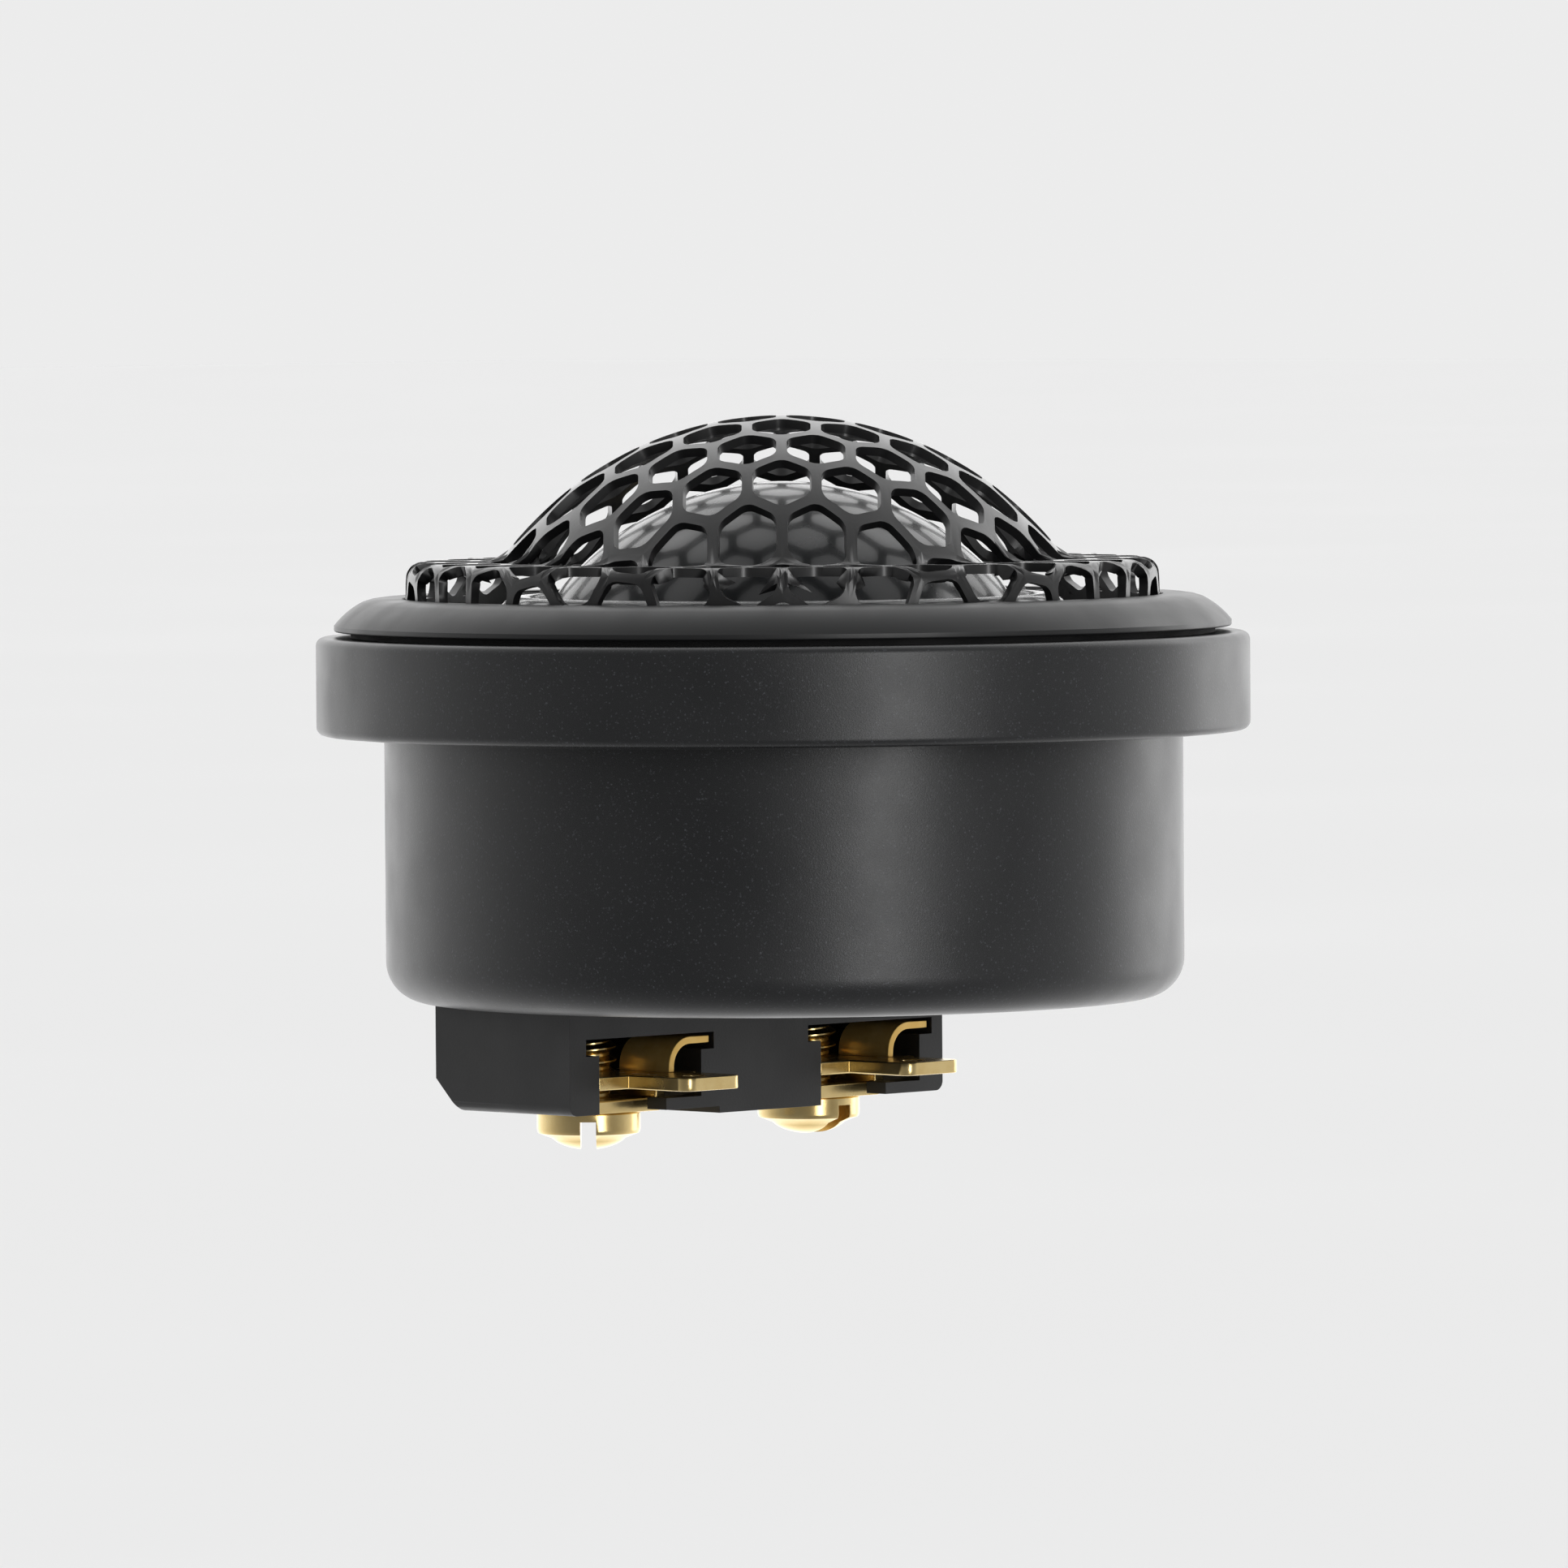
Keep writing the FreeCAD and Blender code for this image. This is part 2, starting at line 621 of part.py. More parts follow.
def make_block():
    """The moulded block: two terminal recesses, a centre pad and a bevelled rear edge."""
    blank = padded("block_blank", "YZ_Plane", [
        ("block_front", BLOCK_BOTTOM),
        (f"{BLOCK_REAR} - block_bevel", BLOCK_BOTTOM),
        (BLOCK_REAR, f"{BLOCK_BOTTOM} + block_bevel"),
        (BLOCK_REAR, BLOCK_TOP),
        ("block_front", BLOCK_TOP),
    ], "block_length", midplane=True)
    blank.setExpression(".Placement.Base.x", bound("-block_shift"))
    foot = box("block_foot", ("0.5 - pad_half", "0.5 + pad_half"),
               ("block_front", f"{BLOCK_REAR} - block_bevel - pad_inset"),
               (f"{BLOCK_BOTTOM} - pad_height", f"{BLOCK_BOTTOM} + 1"))
    solid = rounded("block_rounded", fuse("block_solid", [blank, foot]), "block_round",
                    is_outer_corner)
    tools = []
    for side, sign in SIDES:
        tools += recess_tools(side, terminal_axis(sign))
    for index, (x, y) in enumerate(block_screw_places()):
        tools.append(cylinder(f"block_pilot_{index}", "small_screw",
                              (f"{BLOCK_TOP} - block_screw_length", f"{BLOCK_TOP} + 1"), x, y))
    return cut("terminal_block", solid, tools)


def is_outer_corner(edge):
    """Whether an edge is one of the lower corners at the ends of the block, running front to rear."""
    bounds = edge.BoundBox
    along_y = bounds.YLength > number("block_width") / 2
    from_middle = abs(bounds.Center.x + number("block_shift"))
    at_end = abs(from_middle - number("block_length") / 2) < 0.01
    return along_y and at_end and abs(bounds.Center.z - number(BLOCK_BOTTOM)) < 0.01


def make_contact(side, axis):
    """One contact: a tapped plate, a blade tab at the front and a riser at the rear."""
    plate = box(f"contact_plate_{side}",
                (f"{axis} - recess_left + contact_margin", f"{axis} + recess_right - contact_margin"),
                ("block_front + contact_margin", f"{RECESS_REAR} - contact_margin"),
                (CONTACT_BOTTOM, CONTACT_TOP))
    tab = box(f"contact_tab_{side}",
              (f"{axis} + tab_offset - tab_width / 2", f"{axis} + tab_offset + tab_width / 2"),
              ("block_front - tab_reach", "block_front + 1"), (CONTACT_BOTTOM, CONTACT_TOP))
    tail = box(f"contact_tail_{side}", (f"{axis} - riser_width / 2", f"{axis} + riser_width / 2"),
               (f"{RECESS_REAR} - contact_margin", RISER_Y), (CONTACT_BOTTOM, CONTACT_TOP))
    riser = box(f"contact_riser_{side}", (f"{axis} - riser_width / 2", f"{axis} + riser_width / 2"),
                (f"{RISER_Y} - riser_thick", RISER_Y), (CONTACT_BOTTOM, "-riser_top"))
    tapping = cylinder(f"contact_tapping_{side}", "screw_radius + thread_gap",
                       (f"{CONTACT_BOTTOM} - 1", f"{CONTACT_TOP} + 2"), axis, SCREW_Y)
    tab_hole = cylinder(f"contact_tab_hole_{side}", "tab_hole",
                        (f"{CONTACT_BOTTOM} - 1", f"{CONTACT_TOP} + 1"),
                        f"{axis} + tab_offset", "block_front - tab_reach + tab_hole_inset")
    whole = cut(f"contact_bored_{side}", fuse(f"contact_union_{side}", [plate, tab, tail, riser]),
                [tapping, tab_hole])
    tip = number("block_front - tab_reach")
    return rounded(f"contact_{side}", whole, "tab_round",
                   lambda edge: edge.BoundBox.ZLength > 0.5 and edge.BoundBox.YMax < tip + 0.01)


def make_wire_guide(side, axis):
    """The curled strip over the contact that the bare wire is pushed under. Its flat end sits in the
    block's side notch."""
    left = f"({axis} + guide_inset)"
    end = f"{axis} + recess_right + guide_flange"
    top = f"({ROOF} - guide_gap)"
    spring = f"({CONTACT_TOP} + guide_rise)"
    curl = f"({top} - {spring})"
    bend = f"({left} + {curl})"
    body = padded(f"wire_guide_{side}", "XZ_Plane", [
        (left, CONTACT_TOP),
        (f"{left} + guide_sheet", CONTACT_TOP),
        (f"{left} + guide_sheet", spring, f"{curl} - guide_sheet", bend, spring),
        (bend, f"{top} - guide_sheet"),
        (end, f"{top} - guide_sheet"),
        (end, top),
        (bend, top, curl, bend, spring),
        (left, spring),
    ], "guide_length")
    body.setExpression(".Placement.Base.y", bound("block_front + guide_length + contact_margin"))
    return body


def make_clamp(side, axis):
    """The clamp plate under the contact, with two lips that rise either side of the wire."""
    depth = (f"{SCREW_Y} - clamp_half_y", f"{SCREW_Y} + clamp_rear")
    pieces = [box(f"clamp_plate_flat_{side}", (f"{axis} - clamp_half_x", f"{axis} + clamp_half_x"), depth,
                  (CLAMP_UNDER, f"{CLAMP_UNDER} + clamp_thick"))]
    for end, edge in (("left", f"{axis} - clamp_half_x"), ("right", f"{axis} + clamp_half_x - clamp_thick")):
        pieces.append(box(f"clamp_lip_{end}_{side}", (edge, f"{edge} + clamp_thick"), depth,
                          (CLAMP_UNDER, LIP_TOP)))
    bent = rounded(f"clamp_bent_{side}", fuse(f"clamp_union_{side}", pieces), "clamp_round",
                   lambda edge: edge.BoundBox.YLength > 1
                   and edge.BoundBox.ZMax < number(CLAMP_UNDER) + 0.01)
    hole = cylinder(f"clamp_hole_{side}", "screw_radius + thread_gap",
                    (f"{CLAMP_UNDER} - 1", f"{LIP_TOP} + 1"), axis, SCREW_Y)
    return cut(f"clamp_plate_{side}", bent, [hole])


def make_clamp_screw(side, axis, slot_angle):
    """The slotted screw: its head carries the clamp plate and its shank runs in the contact's thread."""
    head_top = f"({CLAMP_UNDER} - 0.01)"
    shank = cylinder(f"screw_shank_{side}", "screw_radius",
                     (f"{CLAMP_UNDER} - 0.5", f"{BLOCK_TOP} - screw_top"), axis, SCREW_Y)
    head = cylinder(f"screw_head_{side}", "head_radius",
                    (f"{head_top} - head_height", head_top), axis, SCREW_Y)
    blank = rounded(f"screw_rounded_{side}", fuse(f"screw_blank_{side}", [shank, head]), "head_round",
                    lambda edge: abs(edge.BoundBox.ZMax - number(f"{head_top} - head_height")) < 0.01
                    and edge.BoundBox.XLength > 1)
    slot = box(f"screw_slot_{side}", ("-head_radius - 1", "head_radius + 1"),
               ("-driver_slot / 2", "driver_slot / 2"),
               (f"{head_top} - head_height - 1", f"{head_top} - head_height + driver_depth"))
    centred = DOC.addObject("Part::Compound", f"screw_slot_turned_{side}")
    centred.Links = [slot]
    place(centred, axis, SCREW_Y)
    centred.setExpression(".Placement.Rotation.Angle", str(slot_angle))
    return cut(f"clamp_screw_{side}", blank, [centred])


def make_bush(side, axis):
    """The insulating bush round a riser where it passes through the cup's floor."""
    middle = f"({RISER_Y} - riser_thick / 2)"
    barrel = cylinder(f"bush_barrel_{side}", "bush_radius",
                      (f"{BLOCK_TOP} - 2", "cup_floor - cup_depth"), axis, middle)
    flange = cylinder(f"bush_flange_{side}", "bush_flange",
                      ("cup_floor - cup_depth", "cup_floor - cup_depth + 0.5"), axis, middle)
    slot = box(f"bush_slot_{side}", (f"{axis} - riser_width / 2", f"{axis} + riser_width / 2"),
               (f"{RISER_Y} - riser_thick", RISER_Y), (f"{BLOCK_TOP} - 3", "cup_floor - cup_depth + 2"))
    return cut(f"insulating_bush_{side}", fuse(f"bush_union_{side}", [barrel, flange]), [slot])


def make_lead(side, axis):
    """One lead: straight out from the riser, a bend, and up through the face ring."""
    bend = number("lead_bend")
    x = number(axis)
    start = FreeCAD.Vector(x, number(RISER_Y), -number("riser_top") - number("lead_radius") - 0.1)
    top = FreeCAD.Vector(x, number(LEAD_Y), number(FACE_TOP))
    before = FreeCAD.Vector(x, top.y - bend, start.z)
    after = FreeCAD.Vector(x, top.y, start.z + bend)
    middle = FreeCAD.Vector(x, top.y - bend * (1 - math.sin(math.pi / 4)),
                            start.z + bend * (1 - math.cos(math.pi / 4)))
    path = Part.Wire([Part.LineSegment(start, before).toShape(), Part.Arc(before, middle, after).toShape(),
                      Part.LineSegment(after, top).toShape()])
    section = Part.Wire(Part.makeCircle(number("lead_radius"), start, FreeCAD.Vector(0, 1, 0)))
    lead = DOC.addObject("Part::Feature", f"lead_{side}")
    lead.Shape = path.makePipeShell([section], True, False)
    return lead


def make_block_screws():
    """The two screws that hold the block, driven from inside the cup."""
    screws = []
    for index, (x, y) in enumerate(block_screw_places()):
        shank = cylinder(f"block_screw_shank_{index}", "small_screw",
                         (f"{BLOCK_TOP} - block_screw_length", "cup_floor - cup_depth"), x, y)
        head = cylinder(f"block_screw_head_{index}", "small_head",
                        ("cup_floor - cup_depth", "cup_floor - cup_depth + small_head_height"), x, y)
        screws += [shank, head]
    return fuse("block_screws", screws)


PARTS["terminal_block"] = make_block()
PARTS["block_screws"] = make_block_screws()
for (terminal, side_sign), head_turn in zip(SIDES, (44, 89)):
    screw_axis = terminal_axis(side_sign)
    PARTS[f"contact_{terminal}"] = make_contact(terminal, screw_axis)
    PARTS[f"wire_guide_{terminal}"] = make_wire_guide(terminal, screw_axis)
    PARTS[f"clamp_plate_{terminal}"] = make_clamp(terminal, screw_axis)
    PARTS[f"clamp_screw_{terminal}"] = make_clamp_screw(terminal, screw_axis, head_turn)
    PARTS[f"insulating_bush_{terminal}"] = make_bush(terminal, screw_axis)
    PARTS[f"lead_{terminal}"] = make_lead(terminal, screw_axis)
    PARTS[f"lead_pad_{terminal}"] = cylinder(
        f"lead_pad_{terminal}", "pad_radius", (FACE_TOP, f"{FACE_TOP} + pad_thick"), screw_axis, LEAD_Y)


# ---------------------------------------------------------------- checks and files

DOC.recompute()
for item in DOC.Objects:
    if {"Invalid", "Error"} & set(item.State):
        raise RuntimeError(f"{item.Label} failed: {item.State}")
for name, item in PARTS.items():
    if item.Shape.isNull() or not item.Shape.isValid() or item.Shape.Volume <= 0:
        raise RuntimeError(f"{name} has no valid shape")
os.makedirs("parts", exist_ok=True)
for name, item in PARTS.items():
    item.Label = name
    item.Shape.exportStep(f"parts/{name}.step")
    print(f"{name}: {len(item.Shape.Solids)} solid(s), {item.Shape.Volume:.1f} mm3")
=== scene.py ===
"""The visual model of a flush-mount car tweeter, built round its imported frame."""

import json
import logging
import math
from dataclasses import dataclass, field
from enum import Enum
from typing import Callable, Sequence

import bpy
from mathutils import Matrix, Vector


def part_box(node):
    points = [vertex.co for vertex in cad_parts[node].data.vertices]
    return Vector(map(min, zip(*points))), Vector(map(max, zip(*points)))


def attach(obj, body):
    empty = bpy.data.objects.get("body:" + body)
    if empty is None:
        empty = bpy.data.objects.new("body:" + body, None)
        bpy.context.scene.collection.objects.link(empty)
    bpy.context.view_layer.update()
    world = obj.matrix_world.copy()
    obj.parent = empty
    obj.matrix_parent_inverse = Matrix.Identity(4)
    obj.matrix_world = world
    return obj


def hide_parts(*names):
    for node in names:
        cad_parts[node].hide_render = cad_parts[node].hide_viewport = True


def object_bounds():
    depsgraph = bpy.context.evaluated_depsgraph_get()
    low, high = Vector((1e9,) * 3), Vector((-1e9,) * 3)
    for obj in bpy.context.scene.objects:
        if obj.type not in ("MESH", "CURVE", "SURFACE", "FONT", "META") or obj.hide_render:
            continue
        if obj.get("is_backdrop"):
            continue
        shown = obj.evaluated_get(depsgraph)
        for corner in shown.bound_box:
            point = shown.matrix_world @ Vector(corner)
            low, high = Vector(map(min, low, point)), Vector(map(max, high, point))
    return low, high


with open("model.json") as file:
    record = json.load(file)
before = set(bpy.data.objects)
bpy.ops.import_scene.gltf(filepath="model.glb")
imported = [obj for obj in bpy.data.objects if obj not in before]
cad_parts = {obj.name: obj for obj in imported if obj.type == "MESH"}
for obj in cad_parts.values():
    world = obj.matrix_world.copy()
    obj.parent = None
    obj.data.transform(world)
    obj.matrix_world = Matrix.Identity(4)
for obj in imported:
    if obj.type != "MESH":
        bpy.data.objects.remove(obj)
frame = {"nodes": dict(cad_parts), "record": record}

LOG = logging.getLogger("tweeter")
MM = 0.001
Point = tuple[float, float]
SIDES = ("left", "right")


# ---------------------------------------------------------------- finishes

class Surface(Enum):
    """How a finish's surface was made, which settles its fine relief."""

    POWDER_COATED = "powder coated"
    PAINTED = "painted"
    MOULDED = "moulded"
    PLATED = "plated"
    TURNED = "turned"
    WOVEN = "woven"
    FELTED = "felted"
    WOUND = "wound"


@dataclass(frozen=True)
class Finish:
    """One real finish: its colours in sRGB hex, how glossy it is, and its relief's real size."""

    name: str
    surface: Surface
    colour: str
    shade: str
    roughness: float
    metallic: float = 0.0
    grain_mm: float = 0.2
    relief_mm: float = 0.01
    patch_mm: float = 4.0
    sheen: float = 0.0
    coat: float = 0.0
    coat_roughness: float = 0.25
    extra: str = ""


# Aluminium under a fine black powder coat: satin, with tiny bright flakes and a faint orange peel.
POWDER_COAT = Finish("powder_coated_aluminium", Surface.POWDER_COATED, "#121315", "#0d0e10", 0.40,
                     grain_mm=0.09, relief_mm=0.012, patch_mm=6.0, extra="#6d7078")
# Dark grey satin paint on a turned ring: flat and even, with the finest grain.
SATIN_PAINT = Finish("satin_painted_bezel", Surface.PAINTED, "#0e0f10", "#0b0c0d", 0.44,
                     grain_mm=0.12, relief_mm=0.005)
# Black semi-gloss enamel on pressed steel mesh: smooth, thicker and shinier along the edges.
MESH_ENAMEL = Finish("enamelled_steel_mesh", Surface.PAINTED, "#0d0d0e", "#09090a", 0.36,
                     grain_mm=0.3, relief_mm=0.006, coat=0.25)
# Black glass-filled nylon, moulded with a spark-eroded texture: matte and slightly grey.
BLOCK_NYLON = Finish("moulded_black_nylon", Surface.MOULDED, "#141415", "#101011", 0.50,
                     grain_mm=0.16, relief_mm=0.010)
# Gold flash over nickelled brass: pale yellow, bright, with soft stamping waves.
GOLD_FLASH = Finish("gold_plated_brass", Surface.PLATED, "#e4d09a", "#c3a465", 0.25, metallic=1.0,
                    grain_mm=0.9, relief_mm=0.014, patch_mm=1.6)
# The same flash on formed strip: the bending leaves it satin. Its brighter colour and lower metallic are painted
# light, which lifts the guide out of the shade of its recess.
LIGHTENED_SATIN_GOLD = Finish("gold_plated_strip_lightened", Surface.PLATED, "#f0cf83", "#d3a44c", 0.32, metallic=0.72,
                    grain_mm=0.5, relief_mm=0.010, patch_mm=1.0)
# Woven silk under a wet-looking slate coating: a fine square weave that mirrors light at low angles.
DOPED_SILK = Finish("doped_silk_dome", Surface.WOVEN, "#0f1214", "#0a0c0e", 0.26,
                    grain_mm=0.34, relief_mm=0.002, sheen=0.03, coat=0.4, coat_roughness=0.09)
# Black ABS ring behind the mesh.
CARRIER_ABS = Finish("moulded_black_abs", Surface.MOULDED, "#121314", "#0e0e0f", 0.55,
                     grain_mm=0.2, relief_mm=0.006)
# Soft iron, turned and zinc plated: fine lathe lines and a grey lustre.
ZINC_IRON = Finish("zinc_plated_iron", Surface.TURNED, "#b4b5b3", "#9c9d9c", 0.34, metallic=1.0,
                   grain_mm=0.12, relief_mm=0.004)
# Neodymium magnet under bright nickel.
BRIGHT_NICKEL = Finish("nickel_plated_magnet", Surface.PLATED, "#d0cdc6", "#bebbb4", 0.16, metallic=1.0,
                       grain_mm=1.4, relief_mm=0.004)
# Lacquered copper winding, each turn a fine ridge.
COPPER_WIRE = Finish("lacquered_copper", Surface.WOUND, "#c0703c", "#9a5229", 0.3, metallic=1.0,
                     grain_mm=0.16, relief_mm=0.02)
# Grey wool felt: fibrous, with no gloss.
WOOL_FELT = Finish("grey_wool_felt", Surface.FELTED, "#6a6a69", "#545453", 0.95,
                   grain_mm=0.25, relief_mm=0.06, sheen=0.3)
# Closed-cell black foam. On the seal under the bezel its black is partly painted shade that stands in for the
# shadow gap.
FOAM_AND_GAP_SHADE = Finish("closed_cell_foam_gap_shade", Surface.FELTED, "#0f0f10", "#0a0a0b", 0.85,
                   grain_mm=0.3, relief_mm=0.03)
# Soft PVC sleeve on a lead.
PVC_SLEEVE = Finish("soft_pvc_sleeve", Surface.MOULDED, "#1b1b1c", "#141415", 0.4,
                    grain_mm=0.5, relief_mm=0.004)
# Steel screw with a black oxide.
BLACK_OXIDE = Finish("black_oxide_steel", Surface.TURNED, "#55565a", "#45464a", 0.38, metallic=1.0,
                     grain_mm=0.15, relief_mm=0.004)
# The floor: a pale matte sweep.
PALE_FLOOR = Finish("pale_matte_floor", Surface.MOULDED, "#eeeeee", "#ececec", 0.9,
                    grain_mm=3.0, relief_mm=0.01, patch_mm=400.0)

SLOT_FINISHES = {
    "housing_metal": POWDER_COAT, "bezel_coat": SATIN_PAINT, "grille_paint": MESH_ENAMEL,
    "block_plastic": BLOCK_NYLON, "terminal_brass": GOLD_FLASH, "dome_fabric": DOPED_SILK,
    "carrier_plastic": CARRIER_ABS, "soft_iron": ZINC_IRON, "magnet_nickel": BRIGHT_NICKEL,
    "copper": COPPER_WIRE, "felt": WOOL_FELT, "seal_foam": FOAM_AND_GAP_SHADE, "lead_sleeve": PVC_SLEEVE,
    "fastener_steel": BLACK_OXIDE,
}


def linear(code: str) -> tuple[float, float, float, float]:
    """Turn an sRGB hex colour into linear RGBA.

    Args:
        code: A colour such as "#303135".

    Returns:
        Red, green, blue and alpha, each from 0 to 1.
    """
    channels = [int(code[start:start + 2], 16) / 255 for start in (1, 3, 5)]
    red, green, blue = (c / 12.92 if c <= 0.04045 else ((c + 0.055) / 1.055) ** 2.4 for c in channels)
    return red, green, blue, 1.0


def add_node(tree: bpy.types.NodeTree, kind: str, inputs: dict | None = None, **settings) -> bpy.types.Node:
    """Add a node with its settings, input values and links.

    Args:
        tree: The material's node tree.
        kind: The node's type, such as "ShaderNodeBump".
        inputs: Socket name or number to a value, or to the output socket that feeds it.
        **settings: Properties of the node itself.

    Returns:
        The new node.
    """
    node = tree.nodes.new(kind)
    for key, value in settings.items():
        setattr(node, key, value)
    for key, value in (inputs or {}).items():
        if isinstance(value, bpy.types.NodeSocket):
            tree.links.new(value, node.inputs[key])
        else:
            node.inputs[key].default_value = value
    return node


class Paintbox:
    """Builds each finish's material once and hands it out."""

    def __init__(self) -> None:
        """Start with no materials made."""
        self.made: dict[str, bpy.types.Material] = {}

    def material(self, finish: Finish) -> bpy.types.Material:
        """The material of a finish, built on first use.

        Args:
            finish: The finish to build.

        Returns:
            The Blender material.
        """
        if finish.name not in self.made:
            self.made[finish.name] = self._build(finish)
        return self.made[finish.name]

    def dress(self, piece: bpy.types.Object, finish: Finish) -> None:
        """Give a piece one finish all over."""
        piece.data.materials.clear()
        piece.data.materials.append(self.material(finish))

    def _build(self, finish: Finish) -> bpy.types.Material:
        """Build a finish: two close shades in soft patches, a varied gloss and a fine relief."""
        material = bpy.data.materials.new(finish.name)
        material.use_nodes = True
        tree = material.node_tree
        shader = tree.nodes["Principled BSDF"]
        place = add_node(tree, "ShaderNodeTexCoord").outputs["Object"]
        patches = add_node(tree, "ShaderNodeTexNoise",
                           {"Vector": place, "Scale": 1 / (finish.patch_mm * MM), "Detail": 4.0})
        colour = add_node(tree, "ShaderNodeMix", {
            "Factor": patches.outputs["Fac"], 6: linear(finish.shade), 7: linear(finish.colour),
        }, data_type="RGBA").outputs[2]
        height = self._relief(tree, finish, place)
        if finish.extra:
            colour = self._flakes(tree, finish, place, colour)
        gloss = add_node(tree, "ShaderNodeMapRange", {
            "Value": patches.outputs["Fac"], "From Min": 0.3, "From Max": 0.7,
            "To Min": finish.roughness * 0.88, "To Max": finish.roughness * 1.12,
        }).outputs["Result"]
        bump = add_node(tree, "ShaderNodeBump",
                        {"Height": height, "Strength": 0.6, "Distance": finish.relief_mm * MM})
        tree.links.new(colour, shader.inputs["Base Color"])
        tree.links.new(gloss, shader.inputs["Roughness"])
        tree.links.new(bump.outputs["Normal"], shader.inputs["Normal"])
        shader.inputs["Metallic"].default_value = finish.metallic
        shader.inputs["Sheen Weight"].default_value = finish.sheen
        shader.inputs["Coat Weight"].default_value = finish.coat
        shader.inputs["Coat Roughness"].default_value = finish.coat_roughness
        return material

    def _flakes(self, tree: bpy.types.NodeTree, finish: Finish, place: bpy.types.NodeSocket,
                colour: bpy.types.NodeSocket) -> bpy.types.NodeSocket:
        """Scatter a few bright flakes, one in some hundred cells, through the coat."""
        cells = add_node(tree, "ShaderNodeTexVoronoi",
                         {"Vector": place, "Scale": 1 / (finish.grain_mm * MM)})
        bright = add_node(tree, "ShaderNodeMapRange", {
            "Value": cells.outputs["Color"], "From Min": 0.80, "From Max": 0.97, "To Max": 0.15})
        return add_node(tree, "ShaderNodeMix", {
            "Factor": bright.outputs["Result"], 6: colour, 7: linear(finish.extra),
        }, data_type="RGBA").outputs[2]

    def _relief(self, tree: bpy.types.NodeTree, finish: Finish,
                place: bpy.types.NodeSocket) -> bpy.types.NodeSocket:
        """The height pattern of a finish's surface, at its grain's real size."""
        scale = 1 / (finish.grain_mm * MM)
        if finish.surface is Surface.WOVEN:
            threads = [self._ridges(tree, place, axis, finish.grain_mm) for axis in "XY"]
            return add_node(tree, "ShaderNodeMath", {0: threads[0], 1: threads[1]},
                            operation="MULTIPLY").outputs[0]
        if finish.surface in (Surface.TURNED, Surface.WOUND):
            return self._ridges(tree, place, "Z", finish.grain_mm)
        detail = 8.0 if finish.surface is Surface.FELTED else 2.0
        return add_node(tree, "ShaderNodeTexNoise",
                        {"Vector": place, "Scale": scale, "Detail": detail}).outputs["Fac"]

    @staticmethod
    def _ridges(tree: bpy.types.NodeTree, place: bpy.types.NodeSocket, axis: str,
                spacing_mm: float) -> bpy.types.NodeSocket:
        """Straight ridges at a real spacing across one axis. A wave repeats every 2 pi / 20 units."""
        wave = add_node(tree, "ShaderNodeTexWave", {
            "Vector": place, "Scale": math.pi / (10 * spacing_mm * MM), "Distortion": 0.0,
        }, bands_direction=axis)
        return wave.outputs["Fac"]


# ---------------------------------------------------------------- modelling by hand

def deselect() -> None:
    """Deselect every object."""
    bpy.ops.object.select_all(action="DESELECT")


def pick(piece: bpy.types.Object) -> None:
    """Select one piece alone and make it active."""
    deselect()
    piece.select_set(True)
    bpy.context.view_layer.objects.active = piece


def edit(selection: str = "SELECT") -> None:
    """Enter edit mode with everything selected, or nothing."""
    bpy.ops.object.mode_set(mode="EDIT")
    bpy.ops.mesh.select_all(action=selection)


def leave() -> None:
    """Go back to object mode."""
    bpy.ops.object.mode_set(mode="OBJECT")


def finished(piece: bpy.types.Object, name: str, crease_deg: float = 32.0,
             flat_faces: bool = True) -> bpy.types.Object:
    """Name a piece, put its place into its mesh and smooth it up to a crease angle.

    Args:
        piece: The modelled piece.
        name: The piece's final name.
        crease_deg: Edges sharper than this stay sharp.
        flat_faces: Whether large faces keep a flat shading up to their rounded edges.

    Returns:
        The same piece.
    """
    pick(piece)
    bpy.ops.object.transform_apply(location=True, rotation=True, scale=True)
    bpy.ops.object.shade_smooth_by_angle(angle=math.radians(crease_deg))
    if flat_faces:
        modify(piece, "WEIGHTED_NORMAL", keep_sharp=True, weight=90)
    piece.name = name
    piece.data.name = name
    return piece


def modify(piece: bpy.types.Object, kind: str, **settings) -> None:
    """Add a modifier, set it and apply it."""
    pick(piece)
    modifier = piece.modifiers.new(kind.lower(), kind)
    for key, value in settings.items():
        setattr(modifier, key, value)
    bpy.ops.object.modifier_apply(modifier=modifier.name)


def arc(centre: Point, radius: float, start_deg: float, end_deg: float, steps: int) -> list[Point]:
    """Points along an arc of an outline, ends included.

    Args:
        centre: The arc's centre, in millimetres.
        radius: Its radius in millimetres.
        start_deg: The angle of its first point.
        end_deg: The angle of its last point.
        steps: How many stretches it is cut into.

    Returns:
        The points, in millimetres.
    """
    angles = [math.radians(start_deg + (end_deg - start_deg) * i / steps) for i in range(steps + 1)]
    return [(centre[0] + radius * math.cos(a), centre[1] + radius * math.sin(a)) for a in angles]


def drawn(points: Sequence[Point]) -> bpy.types.Object:
    """Draw a chain of edges in the XZ plane by extruding one vertex from point to point.

    Args:
        points: Radius and height of each point, in millimetres.

    Returns:
        The chain, still selected and in edit mode.
    """
    deselect()
    bpy.ops.mesh.primitive_plane_add(size=MM, location=(0, 0, 0))
    piece = bpy.context.object
    edit()
    bpy.ops.mesh.merge(type="CENTER")
    last = Vector((0, 0, 0))
    for index, (radius, height) in enumerate(points):
        target = Vector((radius * MM, 0, height * MM))
        step = target - last
        if index == 0:
            bpy.ops.transform.translate(value=step)
        else:
            bpy.ops.mesh.extrude_vertices_move(TRANSFORM_OT_translate={"value": step})
        last = target
    return piece


